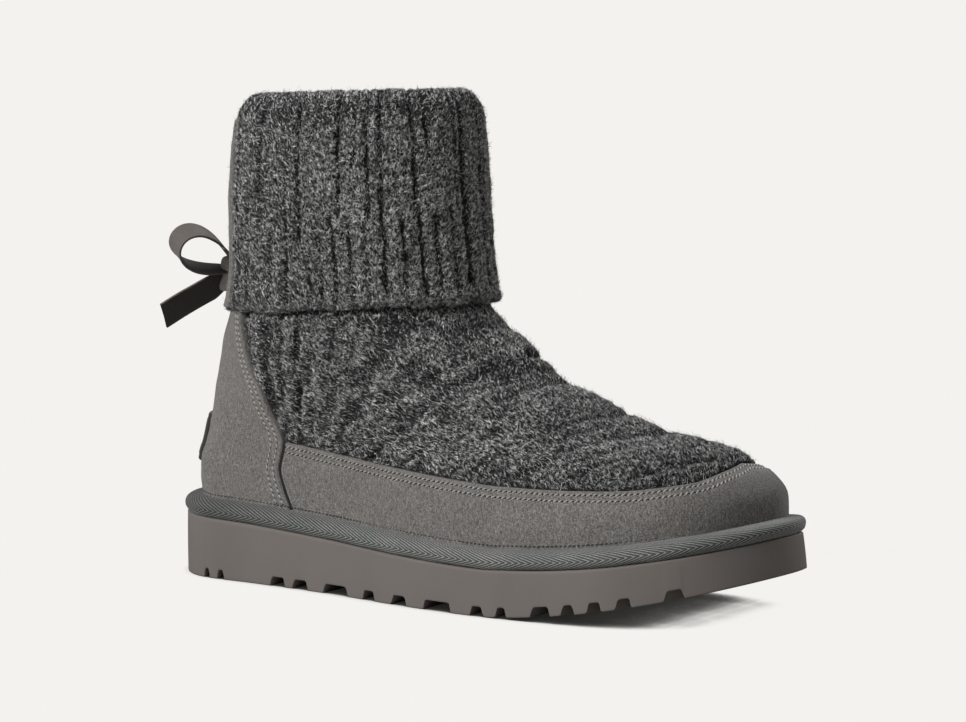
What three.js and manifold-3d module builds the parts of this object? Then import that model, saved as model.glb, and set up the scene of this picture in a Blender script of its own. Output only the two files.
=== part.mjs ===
// Right sweater boot: moulded outsole, bound platform edge, knitted upper with suede panels, folded cuff and a bow.
// Millimetres. +X points to the toe, +Y to the wearer's inner side and +Z up.
// The origin lies on the floor under the heel, and every function below measures x from the sole's back edge.
import * as THREE from "three";
import { mergeVertices } from "three/addons/utils/BufferGeometryUtils.js";
import Module from "manifold-3d";

const wasm = await Module();
wasm.setup();

// Driving dimensions of the sole
const SOLE_LENGTH = 276.5;
const BALL_WIDTH = 99.5;
const HEEL_TO_ORIGIN = 48;
const HEEL_THICKNESS = 25.6;
const BALL_THICKNESS = 18.3;
const TOE_THICKNESS = 14.5;
const TOE_SPRING = 17.8;
const TOE_RAKE = 1.8;
const TREAD_DEPTH = 3.8;
const CHANNEL_WIDTH = 5;

// Driving dimensions of the platform edge and the footbed
const BINDING_HEIGHT = 7.2;
const BINDING_OVERHANG = 1.1;
const BINDING_WIDTH = 13;
const INSOLE_THICKNESS = 11;

// Driving dimensions of the upper and of what is sewn to it
const UPPER_INSET = 6.5;
const UPPER_WALL = 3;
const INSTEP_RISE = 84;
const COLLAR_HEIGHT = 201.5;
const SHAFT_WIDTH = 78;
const SUEDE = 1.5;
const FOXING_HEIGHT = 23.3;
const HEM_SLOPE = 6;
const COLLAR_SLOPE = 2.5;
const CUFF_WALL = 3.2;
const CUFF_FOLD = 4.2;
const STRAP_DROP = 5;
const PATCH_WIDTH = 50;
const PATCH_HEIGHT = 22;
const PATCH_THICKNESS = 1.1;
const PATCH_RISE = 14;

// Driving dimensions of the bow
const RIBBON_WIDTH = 14;
const RIBBON_THICKNESS = 1.4;
const LOOP_LENGTH = 27.5;
const LOOP_OPENING = 13.5;
const TAIL_LENGTH = 33.5;
const KNOT_HEIGHT = 15;
const KNOT_WIDTH = 12;
const KNOT_DEPTH = 7;
const BOW_RISE = 13.5;
const TAIL_SAG = 2.5;

// Gap between pieces that meet
const CLEARANCE = 0.3;
const PATCH_CLEARANCE = 0.45;

// How finely the round forms are divided
const HALF_COLUMNS = 26;
const COLUMNS = 2 * HALF_COLUMNS;
const COUNTER_COLUMNS = 9;
const STRAP_COLUMNS = 8;
const PATCH_ROWS = 3;
const OUTLINE_STEPS = 480;
const LOOP_STEPS = 20;
const TAIL_STEPS = 6;
const KNOT_SIDES = 16;

// Half widths of the sole from heel to toe: along is a share of the sole's length, the others of its ball width.
const SOLE_TABLE = [
  { along: 0.018, lateral: 0.187, medial: 0.17 },
  { along: 0.08, lateral: 0.344, medial: 0.31 },
  { along: 0.2, lateral: 0.375, medial: 0.36 },
  { along: 0.345, lateral: 0.411, medial: 0.345 },
  { along: 0.49, lateral: 0.48, medial: 0.375 },
  { along: 0.617, lateral: 0.51, medial: 0.44 },
  { along: 0.726, lateral: 0.498, medial: 0.485 },
  { along: 0.835, lateral: 0.455, medial: 0.487 },
  { along: 0.927, lateral: 0.318, medial: 0.435 },
  { along: 0.982, lateral: 0.1, medial: 0.325 },
];
const TOE_SIDE = 0.125;
const SPRING_START = 0.624;
const SPRING_CURVE = 1.58;
const BALL_START = 0.67;
const RAKE_START = 0.7;

// Transverse notches between the tread's lugs, as shares of the sole's length.
const NOTCH_TABLE = [
  { along: 0.103, width: 0.012 },
  { along: 0.131, width: 0.013 },
  { along: 0.243, width: 0.028 },
  { along: 0.287, width: 0.028 },
  { along: 0.357, width: 0.047 },
  { along: 0.425, width: 0.024 },
  { along: 0.485, width: 0.027 },
  { along: 0.556, width: 0.049 },
  { along: 0.625, width: 0.021 },
  { along: 0.665, width: 0.016 },
  { along: 0.727, width: 0.028 },
  { along: 0.769, width: 0.018 },
  { along: 0.808, width: 0.02 },
  { along: 0.848, width: 0.02 },
  { along: 0.909, width: 0.022 },
];
const CHANNEL_START = 0.19;
const CHANNEL_END = 0.9;
const CHANNEL_SIDE = 0.16;
const CHANNEL_STATIONS = 9;

// Section of the binding: out is a share of its overhang past the sole, up a share of its height.
const BINDING_PROFILE = [
  { out: -0.6, up: 0 },
  { out: 0.6, up: 0.14 },
  { out: 1, up: 0.42 },
  { out: 0.5, up: 0.7 },
  { out: -1.2, up: 0.88 },
  { out: -3.4, up: 0.97 },
  { out: -5.6, up: 1 },
];

// Levels of the upper. instep and shaft are shares of those rises. back and front are how far the level's ends
// stand inside the footprint's, as shares of the sole's length. rear and fore scale the footprint's half widths,
// oval blends them into the shaft's egg shape, and width is a share of the shaft's width.
const LEVEL_TABLE = [
  { instep: 0, shaft: 0, back: 0, front: 0, rear: 1, fore: 1, oval: 0, width: 0.95 },
  { instep: 0.095, shaft: 0, back: -0.003, front: 0.002, rear: 1.01, fore: 1.015, oval: 0, width: 0.95 },
  { instep: 0.19, shaft: 0, back: -0.002, front: 0.018, rear: 1.02, fore: 1, oval: 0.02, width: 0.95 },
  { instep: 0.274, shaft: 0, back: 0.006, front: 0.042, rear: 1.02, fore: 0.975, oval: 0.06, width: 0.95 },
  { instep: 0.333, shaft: 0, back: 0.01, front: 0.057, rear: 1.02, fore: 0.945, oval: 0.1, width: 0.95 },
  { instep: 0.393, shaft: 0, back: 0.013, front: 0.089, rear: 1.02, fore: 0.925, oval: 0.2, width: 0.96 },
  { instep: 0.476, shaft: 0, back: 0.02, front: 0.181, rear: 1.03, fore: 0.89, oval: 0.38, width: 0.98 },
  { instep: 0.595, shaft: 0, back: 0.022, front: 0.26, rear: 1.05, fore: 0.86, oval: 0.62, width: 1 },
  { instep: 0.714, shaft: 0, back: 0.0275, front: 0.343, rear: 1.05, fore: 0.85, oval: 0.8, width: 1 },
  { instep: 0.833, shaft: 0, back: 0.033, front: 0.38, rear: 1.05, fore: 0.85, oval: 0.92, width: 1 },
  { instep: 1, shaft: 0, back: 0.051, front: 0.453, rear: 1.05, fore: 0.85, oval: 1, width: 1 },
  { instep: 1, shaft: 0.08, back: 0.057, front: 0.46, rear: 1.05, fore: 0.85, oval: 1, width: 0.985 },
  { instep: 1, shaft: 0.22, back: 0.0625, front: 0.469, rear: 1.05, fore: 0.85, oval: 1, width: 0.97 },
  { instep: 1, shaft: 0.55, back: 0.0645, front: 0.48, rear: 1.05, fore: 0.85, oval: 1, width: 0.97 },
  { instep: 1, shaft: 0.8, back: 0.071, front: 0.4855, rear: 1.05, fore: 0.85, oval: 1, width: 0.96 },
  { instep: 1, shaft: 1, back: 0.083, front: 0.493, rear: 1.05, fore: 0.85, oval: 1, width: 0.92 },
];
const REAR_END = 0.3;
const FORE_START = 0.7;
const EGG = 0.12;
const LIFT_FADE = 0.83;

// Upper edge of the suede band: around runs from the heel (0) to the toe (0.5), height is a share of FOXING_HEIGHT.
const FOXING_TABLE = [
  { around: 0.158, height: 1.24 },
  { around: 0.196, height: 1.17 },
  { around: 0.2275, height: 1.115 },
  { around: 0.282, height: 1.03 },
  { around: 0.321, height: 0.98 },
  { around: 0.3606, height: 0.925 },
  { around: 0.397, height: 0.865 },
  { around: 0.432, height: 0.86 },
  { around: 0.47, height: 0.98 },
  { around: 0.5, height: 1.08 },
];

// Front edge of the heel counter and of the strap above it. rise is a share of the upper's whole rise.
const COUNTER_TABLE = [
  { rise: 0, around: 0.161 },
  { rise: 0.09, around: 0.155 },
  { rise: 0.17, around: 0.158 },
  { rise: 0.3, around: 0.158 },
  { rise: 0.4, around: 0.146 },
  { rise: 0.5, around: 0.133 },
  { rise: 1, around: 0.118 },
];

// Section of the cuff's fold from its inner edge over the top: across is a share of its width, up of its height.
const FOLD_PROFILE = [
  { across: 0, up: 0 },
  { across: 0.04, up: 0.5 },
  { across: 0.25, up: 0.9 },
  { across: 0.5, up: 1 },
  { across: 0.78, up: 0.82 },
  { across: 0.95, up: 0.4 },
];

// Levels of the bow's knot, as shares of its height and of its width.
const KNOT_PROFILE = [
  { up: 0, scale: 0.8 },
  { up: 0.12, scale: 0.97 },
  { up: 0.5, scale: 0.92 },
  { up: 0.88, scale: 0.97 },
  { up: 1, scale: 0.8 },
];
const KNOT_SQUARENESS = 0.6;

// Directions of the bow's ribbons on the medial side: the way out from the knot, and the way across the ribbon.
const LOOP_DIRECTION = [-0.35, 0.85, 0.4];
const LOOP_AXIS = [0.803, 0.487, -0.33];
const TAIL_DIRECTION = [-0.44, 0.76, -0.44];
const TAIL_AXIS = [0.29, 0.62, 0.73];
const LOOP_DROP = -0.25;
const TAIL_DROP = 0.16;
const ROOT_WIDTH = 0.5;
const PINCH_LENGTH = 0.3;
const TEARDROP = 1.3;

// Shares of each zone's height at which the upper has a row.
const FOXING_ROWS = [0, 0.3, 0.55, 0.78, 1];
const KNIT_ROWS = [0.05, 0.13, 0.23, 0.35, 0.49, 0.65, 0.82, 1];
const CUFF_ROWS = [0.05, 0.3, 0.55, 0.8, 1];
const HEM_ROW = FOXING_ROWS.length + KNIT_ROWS.length - 1;

// Smooth step from 0 to 1.
function ease(value) {
  return THREE.MathUtils.smoothstep(value, 0, 1);
}

// Value of a table's column where its key column reaches place, on a smooth curve that never overshoots its rows.
function read(table, key, column, place) {
  const last = table.length - 1;
  const at = THREE.MathUtils.clamp(place, table[0][key], table[last][key]);
  let row = 0;
  while (row < last - 1 && at > table[row + 1][key]) {
    row += 1;
  }
  const span = (k) => table[k + 1][key] - table[k][key];
  const slope = (k) => (table[k + 1][column] - table[k][column]) / span(k);
  const tangent = (k) => {
    if (k === 0) {
      return slope(0);
    }
    if (k === last) {
      return slope(last - 1);
    }
    const before = slope(k - 1);
    const after = slope(k);
    return before * after <= 0 ? 0 : (2 * before * after) / (before + after);
  };
  const t = (at - table[row][key]) / span(row);
  const rise = table[row + 1][column] - table[row][column];
  const bend = (1 - t) * span(row) * tangent(row) - t * span(row) * tangent(row + 1) + (2 * t - 1) * rise;
  return table[row][column] + t * rise + t * (1 - t) * bend;
}

// Heights of the sole
function springAt(x) {
  const share = (x / SOLE_LENGTH - SPRING_START) / (1 - SPRING_START);
  return TOE_SPRING * Math.max(0, share) ** SPRING_CURVE;
}

function thicknessAt(x) {
  const share = x / SOLE_LENGTH;
  const toBall = ease(share / BALL_START);
  const toToe = Math.max(0, (share - BALL_START) / (1 - BALL_START));
  return THREE.MathUtils.lerp(HEEL_THICKNESS, BALL_THICKNESS, toBall) + (TOE_THICKNESS - BALL_THICKNESS) * toToe;
}

function soleTopAt(x) {
  return springAt(x) + thicknessAt(x);
}

function platformTopAt(x) {
  return soleTopAt(x) + CLEARANCE + BINDING_HEIGHT;
}

function featherAt(x) {
  return platformTopAt(x) + CLEARANCE;
}

// How far the sole's lower edge stands in front of its upper edge.
function rakeAt(x) {
  return TOE_RAKE * ease((x / SOLE_LENGTH - RAKE_START) / (1 - RAKE_START));
}

// The sole's upper outline as a closed fine polyline, lateral side first.
function makeOutline() {
  const lateral = SOLE_TABLE.map((row) => new THREE.Vector3(row.along * SOLE_LENGTH, -row.lateral * BALL_WIDTH, 0));
  const medial = SOLE_TABLE.map((row) => new THREE.Vector3(row.along * SOLE_LENGTH, row.medial * BALL_WIDTH, 0));
  const heel = new THREE.Vector3(0, 0, 0);
  const toe = new THREE.Vector3(SOLE_LENGTH, TOE_SIDE * BALL_WIDTH, 0);
  const curve = new THREE.CatmullRomCurve3([heel, ...lateral, toe, ...medial.reverse()], true, "centripetal");
  const points = curve.getPoints(OUTLINE_STEPS).slice(0, OUTLINE_STEPS);
  return points.map((p) => new THREE.Vector2(p.x - rakeAt(p.x), p.y));
}

const outline = makeOutline();

// The outline moved inwards by a distance and resampled: x is spaced like a cosine between its two ends, so that
// point j on the lateral side and point COLUMNS - j on the medial side share one x.
function insetLoop(inset) {
  const count = outline.length;
  const moved = outline.map((p, i) => {
    const along = outline[(i + 1) % count].clone().sub(outline[(i + count - 1) % count]).normalize();
    return new THREE.Vector2(p.x - along.y * inset, p.y + along.x * inset);
  });
  const heel = moved.reduce((best, p, i) => (p.x < moved[best].x ? i : best), 0);
  const toe = moved.reduce((best, p, i) => (p.x > moved[best].x ? i : best), 0);
  const walk = (from, to) => {
    const path = [moved[from]];
    for (let i = from; i !== to; i = (i + 1) % count) {
      path.push(moved[(i + 1) % count]);
    }
    return path;
  };
  const lateral = walk(heel, toe);
  const medial = walk(toe, heel).reverse();
  const sideAt = (path, x) => {
    let i = 0;
    while (i < path.length - 2 && path[i + 1].x < x) {
      i += 1;
    }
    const share = THREE.MathUtils.clamp((x - path[i].x) / (path[i + 1].x - path[i].x || 1), 0, 1);
    return THREE.MathUtils.lerp(path[i].y, path[i + 1].y, share);
  };
  const back = moved[heel].x;
  const front = moved[toe].x;
  return {
    back,
    front,
    side: (path, share) => sideAt(path === "lateral" ? lateral : medial, back + (front - back) * share),
  };
}

// Share of a loop's length reached at a place around it: 0 is the heel, 0.5 the toe, below 0.5 the lateral side.
function lengthShare(around) {
  return (1 - Math.cos(2 * Math.PI * around)) / 2;
}

function loopPoints(inset, heightAt, shift = () => 0) {
  const loop = insetLoop(inset);
  return Array.from({ length: COLUMNS }, (_, column) => {
    const around = column / COLUMNS;
    const share = lengthShare(around);
    const x = loop.back + (loop.front - loop.back) * share;
    const y = loop.side(around < 0.5 ? "lateral" : "medial", share);
    return new THREE.Vector3(x + shift(x), y, heightAt(x));
  });
}

// Surface of the upper
const footprint = insetLoop(UPPER_INSET + SUEDE + CLEARANCE);
const ballX = BALL_START * SOLE_LENGTH;
const baseHeight = featherAt(ballX);
const shaftTop = COLLAR_HEIGHT - CUFF_FOLD - CLEARANCE;
const upperRise = shaftTop - baseHeight;
const shaftRise = upperRise - INSTEP_RISE;
const levels = LEVEL_TABLE.map((row) => ({ ...row, rise: row.instep * INSTEP_RISE + row.shaft * shaftRise }));

function surfacePoint(around, rise) {
  const share = lengthShare(around);
  const column = (name) => read(levels, "rise", name, rise);
  const back = footprint.back + column("back") * SOLE_LENGTH;
  const front = footprint.front - column("front") * SOLE_LENGTH;
  const x = back + (front - back) * share;
  const foreness = ease((share - REAR_END) / (FORE_START - REAR_END));
  const scale = THREE.MathUtils.lerp(column("rear"), column("fore"), foreness);
  const footSide = footprint.side(around < 0.5 ? "lateral" : "medial", share) * scale;
  const angle = 2 * Math.PI * around;
  const halfWidth = (column("width") * SHAFT_WIDTH) / 2;
  const shaftSide = -halfWidth * Math.sin(angle) * (1 - EGG * Math.cos(angle));
  const y = THREE.MathUtils.lerp(footSide, shaftSide, column("oval"));
  const lift = (featherAt(x) - baseHeight) * (1 - ease(rise / (LIFT_FADE * INSTEP_RISE)));
  return new THREE.Vector3(x, y, baseHeight + rise + lift);
}

// Outward normal of the surface. On a rim it lies flat, so that the wall's edge stays level.
function surfaceNormal(around, rise, flat) {
  const step = 0.004;
  const lift = 0.4;
  const low = Math.max(0, rise - lift);
  const high = Math.min(upperRise, rise + lift);
  const across = surfacePoint(around + step, rise).sub(surfacePoint(around - step, rise));
  const upward = surfacePoint(around, high).sub(surfacePoint(around, low));
  const normal = across.cross(upward).normalize();
  if (flat) {
    normal.setZ(0).normalize();
  }
  return normal;
}

function counterEdge(rise) {
  return read(COUNTER_TABLE, "rise", "around", rise / upperRise);
}

// Place around the upper of a column, from -HALF_COLUMNS (toe, medial way round) over 0 (heel) to HALF_COLUMNS.
function aroundAt(column, rise) {
  const edge = counterEdge(rise);
  const steps = Math.abs(column);
  const beyond = (steps - COUNTER_COLUMNS) / (HALF_COLUMNS - COUNTER_COLUMNS);
  const around = steps <= COUNTER_COLUMNS ? (edge * steps) / COUNTER_COLUMNS : edge + (0.5 - edge) * beyond;
  return column < 0 ? 1 - around : around;
}

// Rise of a row at a place around: rows follow the suede's edge first, then the hem, then the collar.
function riseAt(row, around) {
  const folded = Math.min(around, 1 - around);
  const suedeEdge = FOXING_HEIGHT * read(FOXING_TABLE, "around", "height", folded);
  const hem = INSTEP_RISE + HEM_SLOPE * lengthShare(around);
  if (row < FOXING_ROWS.length) {
    return FOXING_ROWS[row] * suedeEdge;
  }
  if (row <= HEM_ROW) {
    return THREE.MathUtils.lerp(suedeEdge, hem, KNIT_ROWS[row - FOXING_ROWS.length]);
  }
  const collar = upperRise - COLLAR_SLOPE * (1 - lengthShare(around));
  return THREE.MathUtils.lerp(hem, collar, CUFF_ROWS[row - HEM_ROW - 1]);
}

const TOP_ROW = HEM_ROW + CUFF_ROWS.length;

// Point of the upper's grid, moved outwards by offset and up by lift.
function gridPoint(column, row, offset, lift = 0) {
  const rough = aroundAt(column, 0);
  const around = aroundAt(column, riseAt(row, rough));
  const rise = riseAt(row, around);
  const flat = row === 0 || row >= HEM_ROW;
  const point = surfacePoint(around, rise).addScaledVector(surfaceNormal(around, rise, flat), offset);
  point.z = row === 0 ? featherAt(point.x) : point.z + lift;
  return point;
}

// Closed solid through sections of equally many points. A closed run joins its last section to its first.
// Otherwise each end is covered by strips between the points that mate(index) pairs.
function loft(sections, closed, mate) {
  const count = sections[0].length;
  const positions = sections.flat().flatMap((p) => [p.x, p.y, p.z]);
  const faces = [];
  const runs = closed ? sections.length : sections.length - 1;
  for (let s = 0; s < runs; s += 1) {
    const here = s * count;
    const there = ((s + 1) % sections.length) * count;
    for (let i = 0; i < count; i += 1) {
      const next = (i + 1) % count;
      faces.push([here + i, here + next, there + next]);
      faces.push([here + i, there + next, there + i]);
    }
  }
  if (!closed) {
    const end = (sections.length - 1) * count;
    for (let i = 0; i < count / 2; i += 1) {
      const [a, b, c, d] = [i, i + 1, mate(i + 1), mate(i)];
      faces.push([a, c, b], [a, d, c]);
      faces.push([end + a, end + b, end + c], [end + a, end + c, end + d]);
    }
  }
  const whole = faces.filter(([a, b, c]) => a !== b && b !== c && c !== a);
  return makeGeometry(positions, whole.flat());
}

function makeGeometry(positions, indices) {
  const geometry = new THREE.BufferGeometry();
  geometry.setAttribute("position", new THREE.Float32BufferAttribute(positions, 3));
  geometry.setIndex(indices);
  return geometry;
}

// Stack of closed loops around an upright axis, lowest first, with both ends covered.
function stack(loops) {
  const count = loops[0].length;
  return loft(loops, false, (i) => (count - i) % count);
}

// Patch of wall between an outer and an inner skin, from one column to another.
function patch(columns, outerRow, innerRow) {
  const sections = columns.map((column) => [...innerRow(column), ...outerRow(column).reverse()]);
  const count = sections[0].length;
  return loft(sections, false, (i) => (count - 1 - i + count) % count);
}

function range(from, to) {
  return Array.from({ length: to - from + 1 }, (_, i) => from + i);
}

// Solids that manifold-3d joins and cuts
function toSolid(geometry) {
  const bare = geometry.clone();
  bare.deleteAttribute("normal");
  bare.deleteAttribute("uv");
  const merged = mergeVertices(bare, 1e-4);
  const mesh = new wasm.Mesh({
    numProp: 3,
    vertProperties: new Float32Array(merged.attributes.position.array),
    triVerts: new Uint32Array(merged.index.array),
  });
  return new wasm.Manifold(mesh);
}

function fromSolid(solid) {
  const mesh = solid.getMesh();
  return makeGeometry(Array.from(mesh.vertProperties), Array.from(mesh.triVerts));
}

// Outsole
function notchGeometry({ along, width }) {
  const half = (width * SOLE_LENGTH) / 2;
  const round = Math.min(half, TREAD_DEPTH) * 0.8;
  const shape = new THREE.Shape();
  shape.moveTo(-half, -TREAD_DEPTH);
  shape.lineTo(half, -TREAD_DEPTH);
  shape.lineTo(half, TREAD_DEPTH - round);
  shape.quadraticCurveTo(half, TREAD_DEPTH, half - round, TREAD_DEPTH);
  shape.lineTo(round - half, TREAD_DEPTH);
  shape.quadraticCurveTo(-half, TREAD_DEPTH, -half, TREAD_DEPTH - round);
  const span = 2 * BALL_WIDTH;
  const notch = new THREE.ExtrudeGeometry(shape, { depth: span, bevelEnabled: false, curveSegments: 2 });
  const x = along * SOLE_LENGTH;
  const slope = Math.atan2(springAt(x + half) - springAt(x - half), 2 * half);
  notch.rotateX(Math.PI / 2);
  notch.translate(0, span / 2, 0);
  notch.rotateY(-slope);
  notch.translate(x, 0, springAt(x));
  return notch;
}

function channelGeometry(side) {
  const sections = range(0, CHANNEL_STATIONS).map((station) => {
    const share = THREE.MathUtils.lerp(CHANNEL_START, CHANNEL_END, station / CHANNEL_STATIONS);
    const x = share * SOLE_LENGTH;
    const y = side * CHANNEL_SIDE * BALL_WIDTH;
    const z = springAt(x);
    const half = CHANNEL_WIDTH / 2;
    return [
      new THREE.Vector3(x, y - half, z - TREAD_DEPTH),
      new THREE.Vector3(x, y + half, z - TREAD_DEPTH),
      new THREE.Vector3(x, y + half, z + TREAD_DEPTH),
      new THREE.Vector3(x, y - half, z + TREAD_DEPTH),
    ];
  });
  return loft(sections, false, (i) => (3 - i + 4) % 4);
}

function outsoleGeometry() {
  const body = stack([loopPoints(0, springAt, rakeAt), loopPoints(0, soleTopAt)]);
  let solid = toSolid(body);
  for (const notch of NOTCH_TABLE) {
    solid = solid.subtract(toSolid(notchGeometry(notch)));
  }
  for (const side of [-1, 1]) {
    solid = solid.subtract(toSolid(channelGeometry(side)));
  }
  return fromSolid(solid);
}

// Binding and insole
function bindingGeometry() {
  const outer = BINDING_PROFILE.map(({ out, up }) => ({ inset: -out * BINDING_OVERHANG, up: up * BINDING_HEIGHT }));
  const profile = [...outer, { inset: BINDING_WIDTH, up: BINDING_HEIGHT }, { inset: BINDING_WIDTH, up: 0 }];
  const rings = profile.map(({ inset, up }) => loopPoints(inset, (x) => soleTopAt(x) + CLEARANCE + up));
  return loft(rings, true);
}

function insoleGeometry() {
  const inset = BINDING_WIDTH + CLEARANCE;
  const bottom = loopPoints(inset, (x) => soleTopAt(x) + CLEARANCE);
  const top = loopPoints(inset, (x) => soleTopAt(x) + CLEARANCE + INSOLE_THICKNESS);
  return stack([bottom, top]);
}

// Upper and overlays
const wholeRound = range(1 - HALF_COLUMNS, HALF_COLUMNS);

function upperGeometry() {
  const rows = range(0, TOP_ROW);
  const skin = (row, offset) => wholeRound.map((column) => gridPoint(column, row, offset));
  const outer = rows.map((row) => skin(row, 0));
  const inner = rows.map((row) => skin(row, -UPPER_WALL)).reverse();
  return loft([...outer, ...inner], true);
}

// Point on a patch's side edge, drawn back from the seam line by the clearance.
function edgePoint(column, neighbour, row, offset, lift) {
  const edge = gridPoint(column, row, offset, lift);
  const inside = gridPoint(neighbour, row, offset, lift);
  return edge.lerp(inside, CLEARANCE / edge.distanceTo(inside));
}

function overlayGeometry(columns, rows, inside, thickness) {
  const skin = (offset) => (column) => rows.map((row) => gridPoint(column, row, offset));
  return patch(columns, skin(inside + thickness), skin(inside));
}

function foxingGeometry() {
  const lateral = range(COUNTER_COLUMNS, HALF_COLUMNS);
  const medial = range(COUNTER_COLUMNS, HALF_COLUMNS - 1).map((column) => -column).reverse();
  return overlayGeometry([...lateral, ...medial], range(0, FOXING_ROWS.length - 1), CLEARANCE, SUEDE);
}

// The counter closes the back between the two ends of the foxing, and stops at the cuff's hem.
function counterGeometry() {
  const columns = range(-COUNTER_COLUMNS, COUNTER_COLUMNS);
  const skin = (offset) => (column) =>
    range(0, HEM_ROW).map((row) => {
      const lift = row === HEM_ROW ? -CLEARANCE : 0;
      const isEdge = Math.abs(column) === COUNTER_COLUMNS;
      const neighbour = column - Math.sign(column);
      return isEdge ? edgePoint(column, neighbour, row, offset, lift) : gridPoint(column, row, offset, lift);
    });
  return patch(columns, skin(CLEARANCE + SUEDE), skin(CLEARANCE));
}

function patchGeometry() {
  const middle = PATCH_RISE + PATCH_HEIGHT / 2;
  const pointAt = (column, rise, offset) => {
    const around = aroundAt(column, rise);
    return surfacePoint(around, rise).addScaledVector(surfaceNormal(around, rise, false), offset);
  };
  const spacing = pointAt(0, middle, 0).distanceTo(pointAt(1, middle, 0));
  const reach = PATCH_WIDTH / 2 / spacing;
  const inner = range(-Math.floor(reach), Math.floor(reach));
  const columns = [-reach, ...inner, reach];
  const rises = range(0, PATCH_ROWS).map((row) => PATCH_RISE + (PATCH_HEIGHT * row) / PATCH_ROWS);
  const skin = (offset) => (column) => rises.map((rise) => pointAt(column, rise, offset));
  const seat = CLEARANCE + SUEDE + PATCH_CLEARANCE;
  return patch(columns, skin(seat + PATCH_THICKNESS), skin(seat));
}

// The cuff hangs outside the shaft, and its fold covers the shaft's rim.
const cuffOutside = CLEARANCE + CUFF_WALL;
const strapOutside = cuffOutside + CLEARANCE + SUEDE;

function cuffGeometry() {
  const rows = range(HEM_ROW, TOP_ROW);
  const inner = rows.map((row) => ({ row, offset: CLEARANCE, lift: 0 }));
  const fold = FOLD_PROFILE.map(({ across, up }) => ({
    row: TOP_ROW,
    offset: THREE.MathUtils.lerp(-UPPER_WALL, cuffOutside, across),
    lift: CLEARANCE + up * CUFF_FOLD,
  }));
  const outer = rows.map((row) => ({ row, offset: cuffOutside, lift: 0 })).reverse();
  const rings = [...inner, ...fold, ...outer].map(({ row, offset, lift }) =>
    wholeRound.map((column) => gridPoint(column, row, offset, lift)),
  );
  return loft(rings.reverse(), true);
}

function strapGeometry() {
  const columns = range(-STRAP_COLUMNS, STRAP_COLUMNS);
  const skin = (offset) => (column) => {
    const rows = range(HEM_ROW, TOP_ROW).map((row) => gridPoint(column, row, offset));
    const top = rows.pop();
    const below = rows[rows.length - 1];
    return [...rows, top.lerp(below, STRAP_DROP / top.distanceTo(below))];
  };
  return patch(columns, skin(strapOutside), skin(cuffOutside + CLEARANCE));
}

// Bow. side is -1 for the lateral half and 1 for the medial half.
const bowHeight = baseHeight + INSTEP_RISE + BOW_RISE;

// Place on the outside of the strap, up the middle of the boot's back.
function strapBackAt(height) {
  const rows = range(HEM_ROW, TOP_ROW).map((row) => gridPoint(0, row, strapOutside));
  const above = Math.max(1, rows.findIndex((point) => point.z > height));
  const [low, high] = [rows[above - 1], rows[above]];
  return low.clone().lerp(high, (height - low.z) / (high.z - low.z));
}

function knotCentre(up) {
  const height = bowHeight + (up - 0.5) * KNOT_HEIGHT;
  const seat = strapBackAt(height);
  return new THREE.Vector3(seat.x - CLEARANCE - KNOT_DEPTH / 2, seat.y, height);
}

function knotGeometry() {
  const loops = KNOT_PROFILE.map(({ up, scale }) =>
    Array.from({ length: KNOT_SIDES }, (_, i) => {
      const angle = (2 * Math.PI * i) / KNOT_SIDES;
      const squared = (value) => Math.sign(value) * Math.abs(value) ** KNOT_SQUARENESS;
      const x = (KNOT_DEPTH / 2) * scale * squared(Math.cos(angle));
      const y = (KNOT_WIDTH / 2) * scale * squared(Math.sin(angle));
      return knotCentre(up).add(new THREE.Vector3(x, y, 0));
    }),
  );
  return stack(loops);
}

// Flat ribbon along a path. axis points across the ribbon, and widthAt gives its width at a share of the path.
function ribbonGeometry(path, axis, widthAt) {
  const last = path.length - 1;
  const sections = path.map((centre, i) => {
    const tangent = path[Math.min(i + 1, last)].clone().sub(path[Math.max(i - 1, 0)]).normalize();
    const normal = tangent.clone().cross(axis).normalize();
    const corner = (across, out) =>
      centre
        .clone()
        .addScaledVector(axis, (across * widthAt(i / last)) / 2)
        .addScaledVector(normal, (out * RIBBON_THICKNESS) / 2);
    return [corner(1, 1), corner(-1, 1), corner(-1, -1), corner(1, -1)];
  });
  return besideKnot(loft(sections, false, (i) => (3 - i + 4) % 4));
}

// A ribbon's ends lie flat against the sides of the knot, with the clearance between.
function besideKnot(ribbon) {
  const size = 3 * KNOT_HEIGHT;
  const taken = new THREE.BoxGeometry(size, KNOT_WIDTH + 2 * CLEARANCE, size);
  const { x, y, z } = knotCentre(0.5);
  return fromSolid(toSolid(ribbon).subtract(toSolid(taken.translate(x, y, z))));
}

function mirrored([x, y, z], side) {
  return new THREE.Vector3(x, y * side, z).normalize();
}

// Where a ribbon starts: far enough inside the knot's side that the whole of its leaning end can be trimmed flat.
function knotSide(side, down, axis) {
  const lean = (Math.abs(axis.y) * ROOT_WIDTH * RIBBON_WIDTH) / 2;
  const reach = KNOT_WIDTH / 2 - lean - RIBBON_THICKNESS;
  return knotCentre(0.5 - down).add(new THREE.Vector3(0, side * reach, 0));
}

function pinch(share) {
  return THREE.MathUtils.lerp(ROOT_WIDTH, 1, ease(share / PINCH_LENGTH)) * RIBBON_WIDTH;
}

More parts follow.
